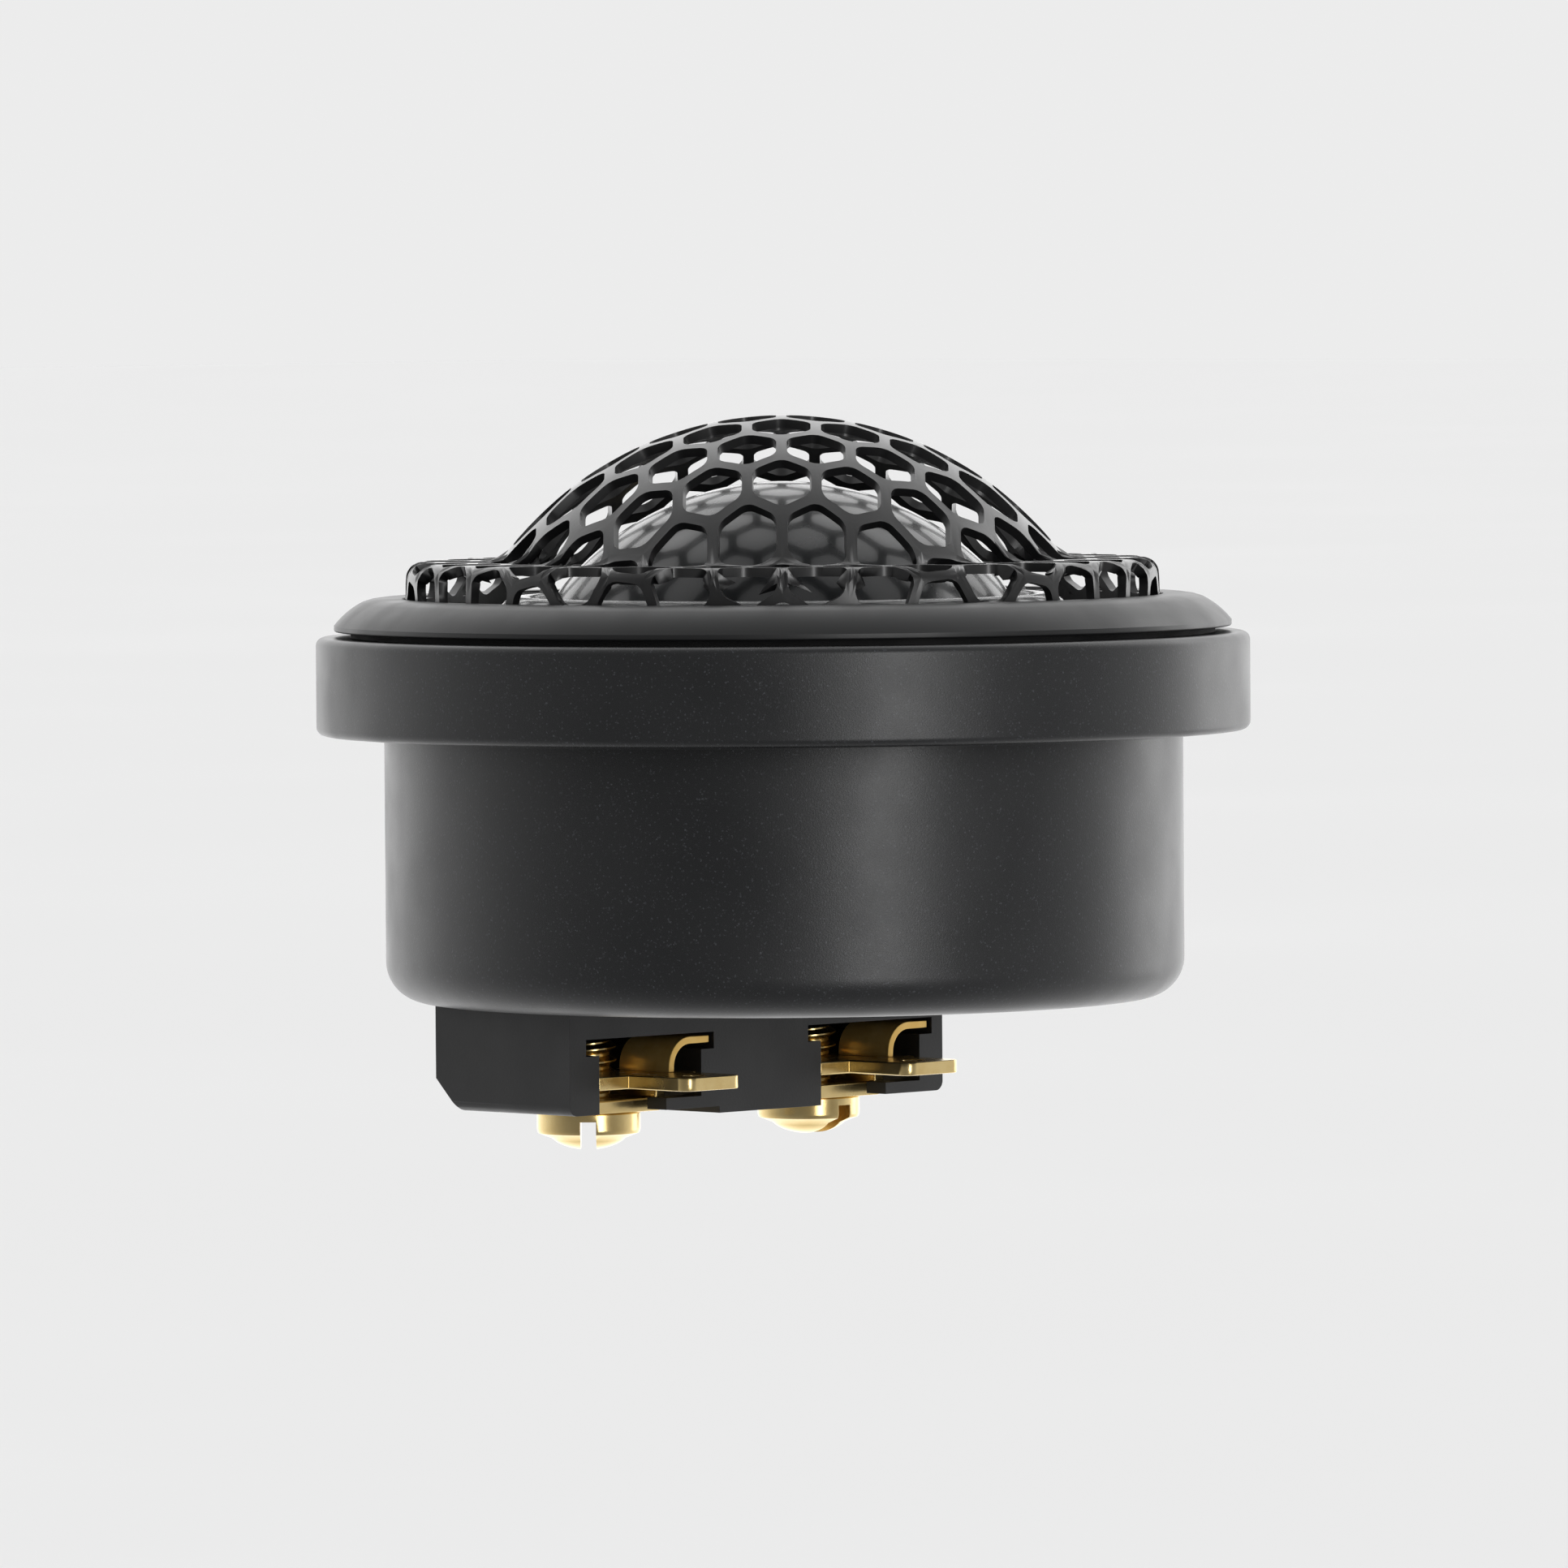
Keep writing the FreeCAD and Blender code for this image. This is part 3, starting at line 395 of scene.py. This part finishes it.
def turned(points: Sequence[Point], steps: int = 192) -> bpy.types.Object:
    """Spin an outline round the Z axis into a closed piece.

    Args:
        points: The outline; a ring's outline ends on its first point.
        steps: How many steps the full turn takes.

    Returns:
        The turned piece.
    """
    piece = drawn(points)
    bpy.ops.mesh.select_all(action="SELECT")
    bpy.ops.mesh.spin(steps=steps, angle=2 * math.pi, center=(0, 0, 0), axis=(0, 0, 1))
    bpy.ops.mesh.select_all(action="SELECT")
    bpy.ops.mesh.remove_doubles(threshold=0.001 * MM)
    bpy.ops.mesh.normals_make_consistent(inside=False)
    leave()
    return piece


def refined(node: str, bevel_mm: float, segments: int = 2) -> bpy.types.Object:
    """Copy a CAD node, merge its loose triangles into clean faces and round its edges.

    Args:
        node: The CAD node's name.
        bevel_mm: The width of the rounded edges.
        segments: How many strips each rounding has.

    Returns:
        The refined copy.
    """
    source = frame["nodes"][node]
    piece = bpy.data.objects.new(node, source.data.copy())
    bpy.context.scene.collection.objects.link(piece)
    for custom in list(piece.keys()):
        del piece[custom]
    pick(piece)
    edit()
    bpy.ops.mesh.remove_doubles(threshold=0.002 * MM)
    bpy.ops.mesh.dissolve_limited(angle_limit=math.radians(2))
    bpy.ops.mesh.normals_make_consistent(inside=False)
    leave()
    modify(piece, "BEVEL", width=bevel_mm * MM, segments=segments, limit_method="ANGLE",
           angle_limit=math.radians(40), use_clamp_overlap=True, harden_normals=False)
    return piece


def middle_of(node: str) -> Vector:
    """The centre of a CAD node's box at rest."""
    low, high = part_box(node)
    return (Vector(low) + Vector(high)) / 2


@dataclass
class SubAssembly:
    """A group of pieces that are modelled and dressed together."""

    paint: Paintbox
    made: list[str] = field(default_factory=list)

    def hand_over(self, piece: bpy.types.Object, body: str, slot: str, *nodes: str) -> None:
        """Dress a piece from its material slot, fix it to its body and let it stand for CAD nodes.

        Args:
            piece: The finished piece.
            body: The CAD body it rides on.
            slot: The record's material slot it takes its finish from.
            *nodes: The CAD nodes it replaces.
        """
        self.paint.dress(piece, SLOT_FINISHES[slot])
        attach(piece, body)
        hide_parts(*nodes)
        self.made.append(piece.name)

    def dress_nodes(self, *nodes: str) -> None:
        """Give CAD nodes that keep their own shape the finish of their slot."""
        slots = {part["node"]: part["material_slot"] for part in frame["record"]["subparts"]}
        for node in nodes:
            self.paint.dress(frame["nodes"][node], SLOT_FINISHES[slots[node]])
            self.made.append(node)


# ---------------------------------------------------------------- housing and front

@dataclass
class Housing(SubAssembly):
    """The turned cup and flange, with its soft edges. Sizes in millimetres."""

    flange_edge: float = 0.5
    cup_fillet: float = 2.4
    wall: float = 1.95
    ledge_bore: float = 19.6
    ledge_height: float = 4.5
    ring_bore: float = 24.0

    def build(self) -> None:
        """Turn the housing round its axis."""
        low, high = (Vector(corner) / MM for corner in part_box("housing"))
        spigot = next(m for m in frame["record"]["mounts"] if m["name"] == "cup_spigot")
        flange, cup = high.x, spigot["dims"]["r_mm"]
        top, bottom = high.z, low.z
        edge, fillet, inside = self.flange_edge, self.cup_fillet, cup - self.wall
        outline = [(0, bottom), (cup * 0.5, bottom)]
        outline += arc((cup - fillet, bottom + fillet), fillet, -90, 0, 14)
        outline += [(cup, -0.25), (cup + 0.1, 0)]
        outline += arc((flange - edge, edge), edge, -90, 0, 6)
        outline += arc((flange - edge, top - edge), edge, 0, 90, 6)
        outline += [(self.ring_bore, top), (self.ring_bore, self.ledge_height)]
        outline += [(self.ledge_bore, self.ledge_height), (self.ledge_bore, 0)]
        outline += [(inside, self.ledge_bore - inside), (inside, bottom + 2), (0, bottom + 2)]
        piece = finished(turned(outline, steps=256), "housing_turned")
        self.hand_over(piece, "root", "housing_metal", "housing")


@dataclass
class Bezel(SubAssembly):
    """The trim ring over the housing's rim, with a convex shoulder."""

    lip: float = 0.65
    recess: float = 24.2
    bore: float = 22.75
    edge: float = 0.35
    slope: float = 1.7
    shoulder: float = 5.0
    crown: float = 0.2
    round_edge: float = 0.12

    def build(self) -> None:
        """Turn the bezel and dress the seal in the shadow gap under it."""
        low, high = (Vector(corner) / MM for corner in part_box("bezel_ring"))
        radius, bottom, top = high.x, low.z, high.z
        start = Vector((radius, bottom + self.edge))
        end = Vector((radius - self.slope, top - self.crown))
        chord = (end - start) / 2
        rise = math.sqrt(self.shoulder ** 2 - chord.length ** 2)
        centre = start + chord + Vector((-chord.y, chord.x)).normalized() * rise
        angles = [math.degrees(math.atan2(p.y - centre.y, p.x - centre.x)) for p in (start, end)]
        outline = [(self.recess, bottom), (radius - self.round_edge, bottom)]
        outline += arc((radius - self.round_edge, bottom + self.round_edge), self.round_edge, -90, 0, 3)[1:]
        outline += arc((centre.x, centre.y), self.shoulder, angles[0], angles[1], 12)
        outline += [(radius - self.slope - 0.45, top - 0.06), (radius - self.slope - 0.9, top)]
        outline += arc((self.bore + self.round_edge, top - self.round_edge), self.round_edge, 90, 180, 3)
        outline += [(self.bore, top - self.lip), (self.recess, top - self.lip), (self.recess, bottom)]
        piece = finished(turned(outline, steps=256), "bezel_turned")
        self.hand_over(piece, "root", "bezel_coat", "bezel_ring")
        # The seal's black fills the shadow gap: partly the foam's own colour, partly painted shade.
        self.dress_nodes("shadow_gap_seal")


@dataclass
class Grille(SubAssembly):
    """The pressed mesh: a flat sheet of hexagons drawn over the dome and bent down at the bead."""

    pitch: float = 4.1
    strut: float = 0.62
    corner: float = 0.45
    sheet: float = 0.55
    sphere: float = 20.85
    bead_height: float = 10.3
    bead_round: float = 1.0
    bead_radius: float = 22.6
    foot_blend: float = 0.35
    rise: float = 8.65
    foot_radius: float = 24.0
    foot_top: float = 7.5
    turn_deg: float = 14.0
    columns: int = 25
    rows: int = 17

    def _flat_sheet(self) -> bpy.types.Object:
        """One hexagon with a rounded hole, repeated in rows, with a joint of three struts at the middle."""
        corner_radius = self.pitch / math.sqrt(3)
        deselect()
        bpy.ops.mesh.primitive_circle_add(vertices=6, radius=corner_radius * MM, fill_type="NGON",
                                          location=(0, 0, 0))
        piece = bpy.context.object
        edit()
        bpy.ops.mesh.inset(thickness=self.strut / 2 * MM)
        bpy.ops.mesh.bevel(affect="VERTICES", offset=self.corner * MM, segments=3)
        leave()
        hole = min(piece.data.polygons, key=lambda face: face.center.length)
        self._delete_faces(piece, lambda face: face.index == hole.index)
        row_step = self.pitch * math.sqrt(3) / 2
        modify(piece, "ARRAY", count=self.columns, use_relative_offset=False, use_constant_offset=True,
               constant_offset_displace=(self.pitch * MM, 0, 0))
        modify(piece, "ARRAY", count=self.rows, use_relative_offset=False, use_constant_offset=True,
               constant_offset_displace=(self.pitch / 2 * MM, row_step * MM, 0))
        half_columns, half_rows = self.columns // 2, self.rows // 2
        shift = Vector((-self.pitch * (half_columns + half_rows / 2),
                        -row_step * half_rows - corner_radius, 0)) * MM
        piece.data.transform(Matrix.Rotation(math.radians(self.turn_deg), 4, "Z") @ Matrix.Translation(shift))
        return piece

    def _delete_faces(self, piece: bpy.types.Object, chosen: Callable[[bpy.types.MeshPolygon], bool]) -> None:
        """Delete the faces that a test picks."""
        pick(piece)
        edit("DESELECT")
        leave()
        for face in piece.data.polygons:
            face.select = chosen(face)
        bpy.ops.object.mode_set(mode="EDIT")
        bpy.ops.mesh.delete(type="FACE")
        leave()

    def _formed(self, radius: float, crown: float) -> tuple[float, float]:
        """Where the press puts a point of the flat sheet.

        Args:
            radius: The point's distance from the sheet's middle.
            crown: The height of the dome's top.

        Returns:
            Its radius and height once formed.
        """
        shoulder = self.bead_radius - self.bead_round
        if radius > shoulder:
            bend = min((radius - shoulder) / self.bead_round, math.pi / 2)
            drop = max(radius - shoulder - self.bead_round * math.pi / 2, 0)
            return (shoulder + self.bead_round * math.sin(bend),
                    self.bead_height - self.bead_round * (1 - math.cos(bend)) - drop)
        cap = crown - self.sphere + math.sqrt(max(self.sphere ** 2 - radius ** 2, 0))
        gap = cap - self.bead_height
        return radius, self.bead_height + (gap + math.sqrt(gap ** 2 + self.foot_blend ** 2)) / 2

    def build(self) -> None:
        """Form the sheet, thicken it, round its edges and add the crimped rim."""
        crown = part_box("grille")[1][2] / MM - self.foot_blend ** 2 / 4 / self.rise
        reach = self.bead_radius - self.bead_round * (1 - math.pi / 2) + self.bead_height - self.bead_round \
            - self.foot_top
        piece = self._flat_sheet()
        self._delete_faces(piece, lambda face: face.center.length > (reach + 1.0) * MM)
        edit()
        bpy.ops.mesh.remove_doubles(threshold=0.01 * MM)
        bpy.ops.mesh.quads_convert_to_tris()
        bpy.ops.mesh.subdivide(number_cuts=1)
        leave()
        for vertex in piece.data.vertices:
            flat = Vector((vertex.co.x, vertex.co.y))
            radius, height = self._formed(flat.length / MM, crown)
            around = flat.normalized() * radius * MM
            vertex.co = Vector((around.x, around.y, height * MM))
        self._delete_faces(piece, lambda face: face.center.z < self.foot_top * MM)
        modify(piece, "SOLIDIFY", thickness=self.sheet * MM, offset=-1.0, use_even_offset=True)
        modify(piece, "BEVEL", width=0.09 * MM, segments=1, limit_method="ANGLE",
               angle_limit=math.radians(50))
        inner = self.bead_radius - self.sheet
        rim = turned([(inner, self.foot_top - self.sheet), (self.foot_radius, self.foot_top - self.sheet),
                      (self.foot_radius, self.foot_top), (self.bead_radius, self.foot_top),
                      (self.bead_radius, self.foot_top + 0.5), (inner, self.foot_top + 0.5),
                      (inner, self.foot_top - self.sheet)], steps=128)
        pick(piece)
        rim.select_set(True)
        bpy.ops.object.join()
        self.hand_over(finished(piece, "grille_mesh", 40.0, flat_faces=False), "root", "grille_paint", "grille")
        self.dress_nodes("grille_cushion")


# ---------------------------------------------------------------- diaphragm and motor

@dataclass
class Diaphragm(SubAssembly):
    """The soft dome, its half-roll surround and the ring that carries them."""

    sphere: float = 17.1
    skin: float = 0.2
    skirt: float = 0.35
    flat: float = 0.9
    bore: float = 17.2

    def build(self) -> None:
        """Turn the dome and the surround, and dress the ring, former and coil."""
        low, high = (Vector(corner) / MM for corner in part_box("diaphragm_dome"))
        rim, centre = high.x, high.z - self.sphere
        slope = math.degrees(math.acos(rim / self.sphere))
        inner = self.sphere - self.skin
        inner_rim = rim - self.skin
        inner_slope = math.degrees(math.acos(inner_rim / inner))
        outline = [(inner_rim, low.z), (rim, low.z)]
        outline += arc((0, centre), self.sphere, slope, 90, 48)
        outline += arc((0, centre), inner, 90, inner_slope, 48) + [(inner_rim, low.z)]
        self.hand_over(finished(turned(outline), "dome_fabric_cap", 60.0), "dome", "dome_fabric",
                       "diaphragm_dome")
        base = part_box("surround")[0][2] / MM + self.skin
        inside = rim + 0.05
        middle, roll = (inside + self.bore) / 2, (self.bore - inside) / 2
        outline = [(self.bore + self.flat, base - self.skin), (self.bore + self.flat, base)]
        outline += arc((middle, base), roll, 0, 180, 24)
        outline += arc((middle, base), roll - self.skin, 180, 0, 24)
        outline += [(self.bore - self.skin, base - self.skin), (self.bore + self.flat, base - self.skin)]
        self.hand_over(finished(turned(outline), "surround_roll", 40.0), "root", "dome_fabric", "surround")
        self.dress_nodes("face_ring", "motor_screws", "coil_former", "voice_coil")


@dataclass
class Motor(SubAssembly):
    """The magnet system and the dampers, sealed inside the cup: their CAD shapes are true."""

    def build(self) -> None:
        """Dress the magnet system's nodes."""
        self.dress_nodes("top_plate", "pole_plate", "copper_cap", "magnet", "yoke_cup", "rear_felt", "pole_felt")


# ---------------------------------------------------------------- terminals

@dataclass
class TerminalBlock(SubAssembly):
    """The moulded block under the cup, with its leads, bushes and screws."""

    edge: float = 0.14

    def build(self) -> None:
        """Round the block's edges and dress what passes through it."""
        piece = finished(refined("terminal_block", self.edge), "terminal_block_moulding")
        self.hand_over(piece, "root", "block_plastic", "terminal_block")
        self.dress_nodes("block_screws")
        for side in SIDES:
            self.dress_nodes(f"insulating_bush_{side}", f"lead_{side}", f"lead_pad_{side}")


@dataclass
class Terminal(SubAssembly):
    """One terminal: the contact with its tab, the wire guide, the clamp plate and the slotted screw."""

    side: str = "left"
    slot_deg: float = 44.0
    thread_pitch: float = 0.8
    thread_depth: float = 0.38
    shank: float = 1.7
    head_side: float = 1.0
    head_corner: float = 0.6
    slot_width: float = 0.95
    slot_depth: float = 1.8
    stamped_edge: float = 0.12

    def build(self) -> None:
        """Model and dress the terminal's pieces."""
        for node, body in ((f"contact_{self.side}", "root"), (f"clamp_plate_{self.side}", f"clamp_{self.side}")):
            piece = finished(refined(node, self.stamped_edge), node + "_stamping")
            self.hand_over(piece, body, "terminal_brass", node)
        node = f"wire_guide_{self.side}"
        strip = finished(refined(node, self.stamped_edge / 2), node + "_strip")
        self.hand_over(strip, "root", "terminal_brass", node)
        # The guide's lightened gold is painted light that offsets the shade of the recess.
        self.paint.dress(strip, LIGHTENED_SATIN_GOLD)
        self.hand_over(self._screw(), f"screw_{self.side}", "terminal_brass", f"clamp_screw_{self.side}")

    def _screw(self) -> bpy.types.Object:
        """Model the screw: a domed head, a driver slot across it and a threaded shank."""
        node = f"clamp_screw_{self.side}"
        low, high = (Vector(corner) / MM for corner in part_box(node))
        axis = middle_of(node)
        head_radius = (high.x - low.x) / 2
        head_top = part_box(f"clamp_plate_{self.side}")[0][2] / MM - 0.01
        dome = head_top - self.head_side - low.z
        flat = head_radius - self.head_corner
        outline = [(flat * math.sin(math.radians(a)), low.z + dome * (1 - math.cos(math.radians(a))))
                   for a in range(0, 64, 7)]
        outline += arc((flat, head_top - self.head_side), self.head_corner, -28, 0, 5)
        outline += [(head_radius, head_top - 0.1), (head_radius - 0.1, head_top), (0, head_top)]
        head = turned(outline, steps=96)
        cutter = self._slot_cutter(low.z, head_radius)
        pick(head)
        cutting = head.modifiers.new("slot", "BOOLEAN")
        cutting.operation = "DIFFERENCE"
        cutting.object = cutter
        bpy.ops.object.modifier_apply(modifier=cutting.name)
        bpy.data.objects.remove(cutter)
        modify(head, "BEVEL", width=0.07 * MM, segments=2, limit_method="ANGLE", angle_limit=math.radians(50))
        thread = self._thread(head_top - 0.4, high.z)
        pick(head)
        thread.select_set(True)
        bpy.ops.object.join()
        head.data.transform(Matrix.Translation(Vector((axis.x, axis.y, 0))))
        return finished(head, node + "_threaded")

    def _slot_cutter(self, bottom: float, reach: float) -> bpy.types.Object:
        """The bar that cuts the driver slot, turned to the slot's angle."""
        deselect()
        bpy.ops.mesh.primitive_cube_add(size=1, location=(0, 0, 0))
        bar = bpy.context.object
        bar.data.transform(Matrix.Diagonal((4 * reach * MM, self.slot_width * MM, 2 * self.slot_depth * MM, 1)))
        bar.data.transform(Matrix.Rotation(math.radians(self.slot_deg), 4, "Z"))
        bar.data.transform(Matrix.Translation(Vector((0, 0, bottom * MM))))
        return bar

    def _thread(self, bottom: float, top: float) -> bpy.types.Object:
        """Sweep a tooth up the shank as a helix, then close both ends."""
        pitch = self.thread_pitch
        turns = max(int((top - bottom) / pitch), 1)
        root = self.shank - self.thread_depth
        tooth = [(root, bottom), (root, bottom + 0.12 * pitch), (self.shank, bottom + 0.46 * pitch),
                 (self.shank, bottom + 0.56 * pitch), (root, bottom + 0.9 * pitch), (root, bottom + pitch)]
        piece = drawn(tooth)
        leave()
        modify(piece, "SCREW", axis="Z", angle=2 * math.pi, screw_offset=pitch * MM,
               iterations=turns - 1, steps=36, render_steps=36, use_merge_vertices=True,
               merge_threshold=0.002 * MM)
        pick(piece)
        edit()
        bpy.ops.mesh.remove_doubles(threshold=0.002 * MM)
        bpy.ops.mesh.select_all(action="DESELECT")
        bpy.ops.mesh.select_mode(type="EDGE")
        bpy.ops.mesh.select_non_manifold()
        bpy.ops.mesh.fill_holes(sides=0)
        bpy.ops.mesh.select_mode(type="VERT")
        bpy.ops.mesh.select_all(action="SELECT")
        bpy.ops.mesh.normals_make_consistent(inside=False)
        leave()
        return piece


# ---------------------------------------------------------------- studio

@dataclass
class Studio:
    """The pale floor, soft lights and the camera. Metres and degrees."""

    paint: Paintbox
    azimuth: float = -46.0
    elevation: float = 2.25
    distance: float = 0.80
    lens: float = 306.2
    aim_height: float = -0.00317
    roll: float = -0.43
    floor_drop: float = 0.16
    soft_light: float = 0.97
    gloss_front: float = 0.26
    gloss_behind: float = 2.1
    backdrop_light: float = 0.84

    def build(self) -> None:
        """Set the floor, the world, the lights and the camera."""
        scene = bpy.context.scene
        scene.view_settings.view_transform = "Standard"
        world = bpy.data.worlds.new("studio_world")
        scene.world = world
        world.use_nodes = True
        tree = world.node_tree
        path = add_node(tree, "ShaderNodeLightPath")
        facing = add_node(tree, "ShaderNodeVectorMath", {
            0: add_node(tree, "ShaderNodeTexCoord").outputs["Generated"],
            1: self._towards(self.azimuth, self.elevation),
        }, operation="DOT_PRODUCT").outputs["Value"]
        turned_away = add_node(tree, "ShaderNodeMapRange", {
            "Value": facing, "From Min": 1.0, "From Max": -1.0}).outputs["Result"]
        swell = add_node(tree, "ShaderNodeMath", {0: turned_away, 1: 2.0}, operation="POWER").outputs[0]
        gloss = add_node(tree, "ShaderNodeMapRange", {
            "Value": swell, "To Min": self.gloss_front, "To Max": self.gloss_behind}).outputs["Result"]
        seen = add_node(tree, "ShaderNodeMix", {
            "Factor": path.outputs["Is Glossy Ray"], 2: self.soft_light, 3: gloss,
        }, data_type="FLOAT").outputs[0]
        level = add_node(tree, "ShaderNodeMix", {
            "Factor": path.outputs["Is Camera Ray"], 2: seen, 3: self.backdrop_light,
        }, data_type="FLOAT").outputs[0]
        tree.links.new(level, tree.nodes["Background"].inputs["Strength"])
        tree.nodes["Background"].inputs["Color"].default_value = (1.0, 1.0, 1.0, 1.0)
        floor = self._floor()
        self._camera()
        self._softbox("right_softbox", 126.0, 14.0, 0.55, (0.20, 0.60), 0.7, floor)
        self._softbox("band_softbox", 27.0, 6.0, 0.70, (0.20, 0.60), 2.4, floor)
        self._softbox("back_top_softbox", 180.0, 52.0, 0.60, (0.60, 0.36), 0.15, floor)

    def _towards(self, azimuth: float, elevation: float) -> Vector:
        """The unit vector from the object out to an azimuth and elevation."""
        turn, rise = math.radians(azimuth), math.radians(elevation)
        return Vector((math.sin(turn) * math.cos(rise), -math.cos(turn) * math.cos(rise), math.sin(rise)))

    def _floor(self) -> bpy.types.Object:
        """A wide pale floor, well below the object, which is held by its flange."""
        deselect()
        bpy.ops.mesh.primitive_plane_add(size=40, location=(0, 0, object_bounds()[0][2] - self.floor_drop))
        floor = bpy.context.object
        floor.name = "studio_floor"
        self.paint.dress(floor, PALE_FLOOR)
        floor.visible_glossy = False
        floor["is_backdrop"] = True
        return floor

    def _camera(self) -> None:
        """A long lens, level with the cup and a little to the front left."""
        aim = Vector((0, 0, self.aim_height))
        spot = aim + self._towards(self.azimuth, self.elevation) * self.distance
        bpy.ops.object.camera_add(location=spot)
        camera = bpy.context.object
        facing = (aim - spot).to_track_quat("-Z", "Y").to_matrix()
        camera.rotation_euler = (facing @ Matrix.Rotation(math.radians(self.roll), 3, "Z")).to_euler()
        camera.data.lens = self.lens
        camera.data.sensor_width = 36.0
        camera.data.clip_start = 0.01
        camera.data.clip_end = 100.0
        bpy.context.scene.camera = camera

    def _softbox(self, name: str, swing: float, elevation: float, away: float,
                 size: tuple[float, float], power: float, shaded: bpy.types.Object) -> None:
        """Hang a rectangular softbox facing the object.

        Args:
            name: The light's name.
            swing: Degrees round from the camera, positive to its right.
            elevation: Degrees above the horizon.
            away: Its distance from the object.
            size: Its width and height.
            power: Its power in watts.
            shaded: What it leaves unlit, so that the floor keeps one even tone.
        """
        spot = self._towards(self.azimuth + swing, elevation) * away
        bpy.ops.object.light_add(type="AREA", location=spot)
        light = bpy.context.object
        light.name = name
        light.rotation_euler = (-spot).to_track_quat("-Z", "Y").to_euler()
        light.data.shape = "RECTANGLE"
        light.data.size, light.data.size_y = size
        light.data.energy = power
        unlit = bpy.data.collections.new(name + "_unlit")
        unlit.objects.link(shaded)
        unlit.collection_objects[0].light_linking.link_state = "EXCLUDE"
        light.light_linking.receiver_collection = unlit


def main() -> None:
    """Build every sub-assembly in order, then the studio."""
    logging.basicConfig(level=logging.INFO, format="%(name)s: %(message)s")
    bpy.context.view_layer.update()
    paint = Paintbox()
    Studio(paint).build()
    parts = [Housing(paint), Bezel(paint), Grille(paint), Diaphragm(paint), Motor(paint),
             TerminalBlock(paint), Terminal(paint, side="left", slot_deg=44.0),
             Terminal(paint, side="right", slot_deg=89.0)]
    for part in parts:
        part.build()
        for name in part.made:
            LOG.info("%s: %s", type(part).__name__, name)


if __name__ == "__main__":
    main()
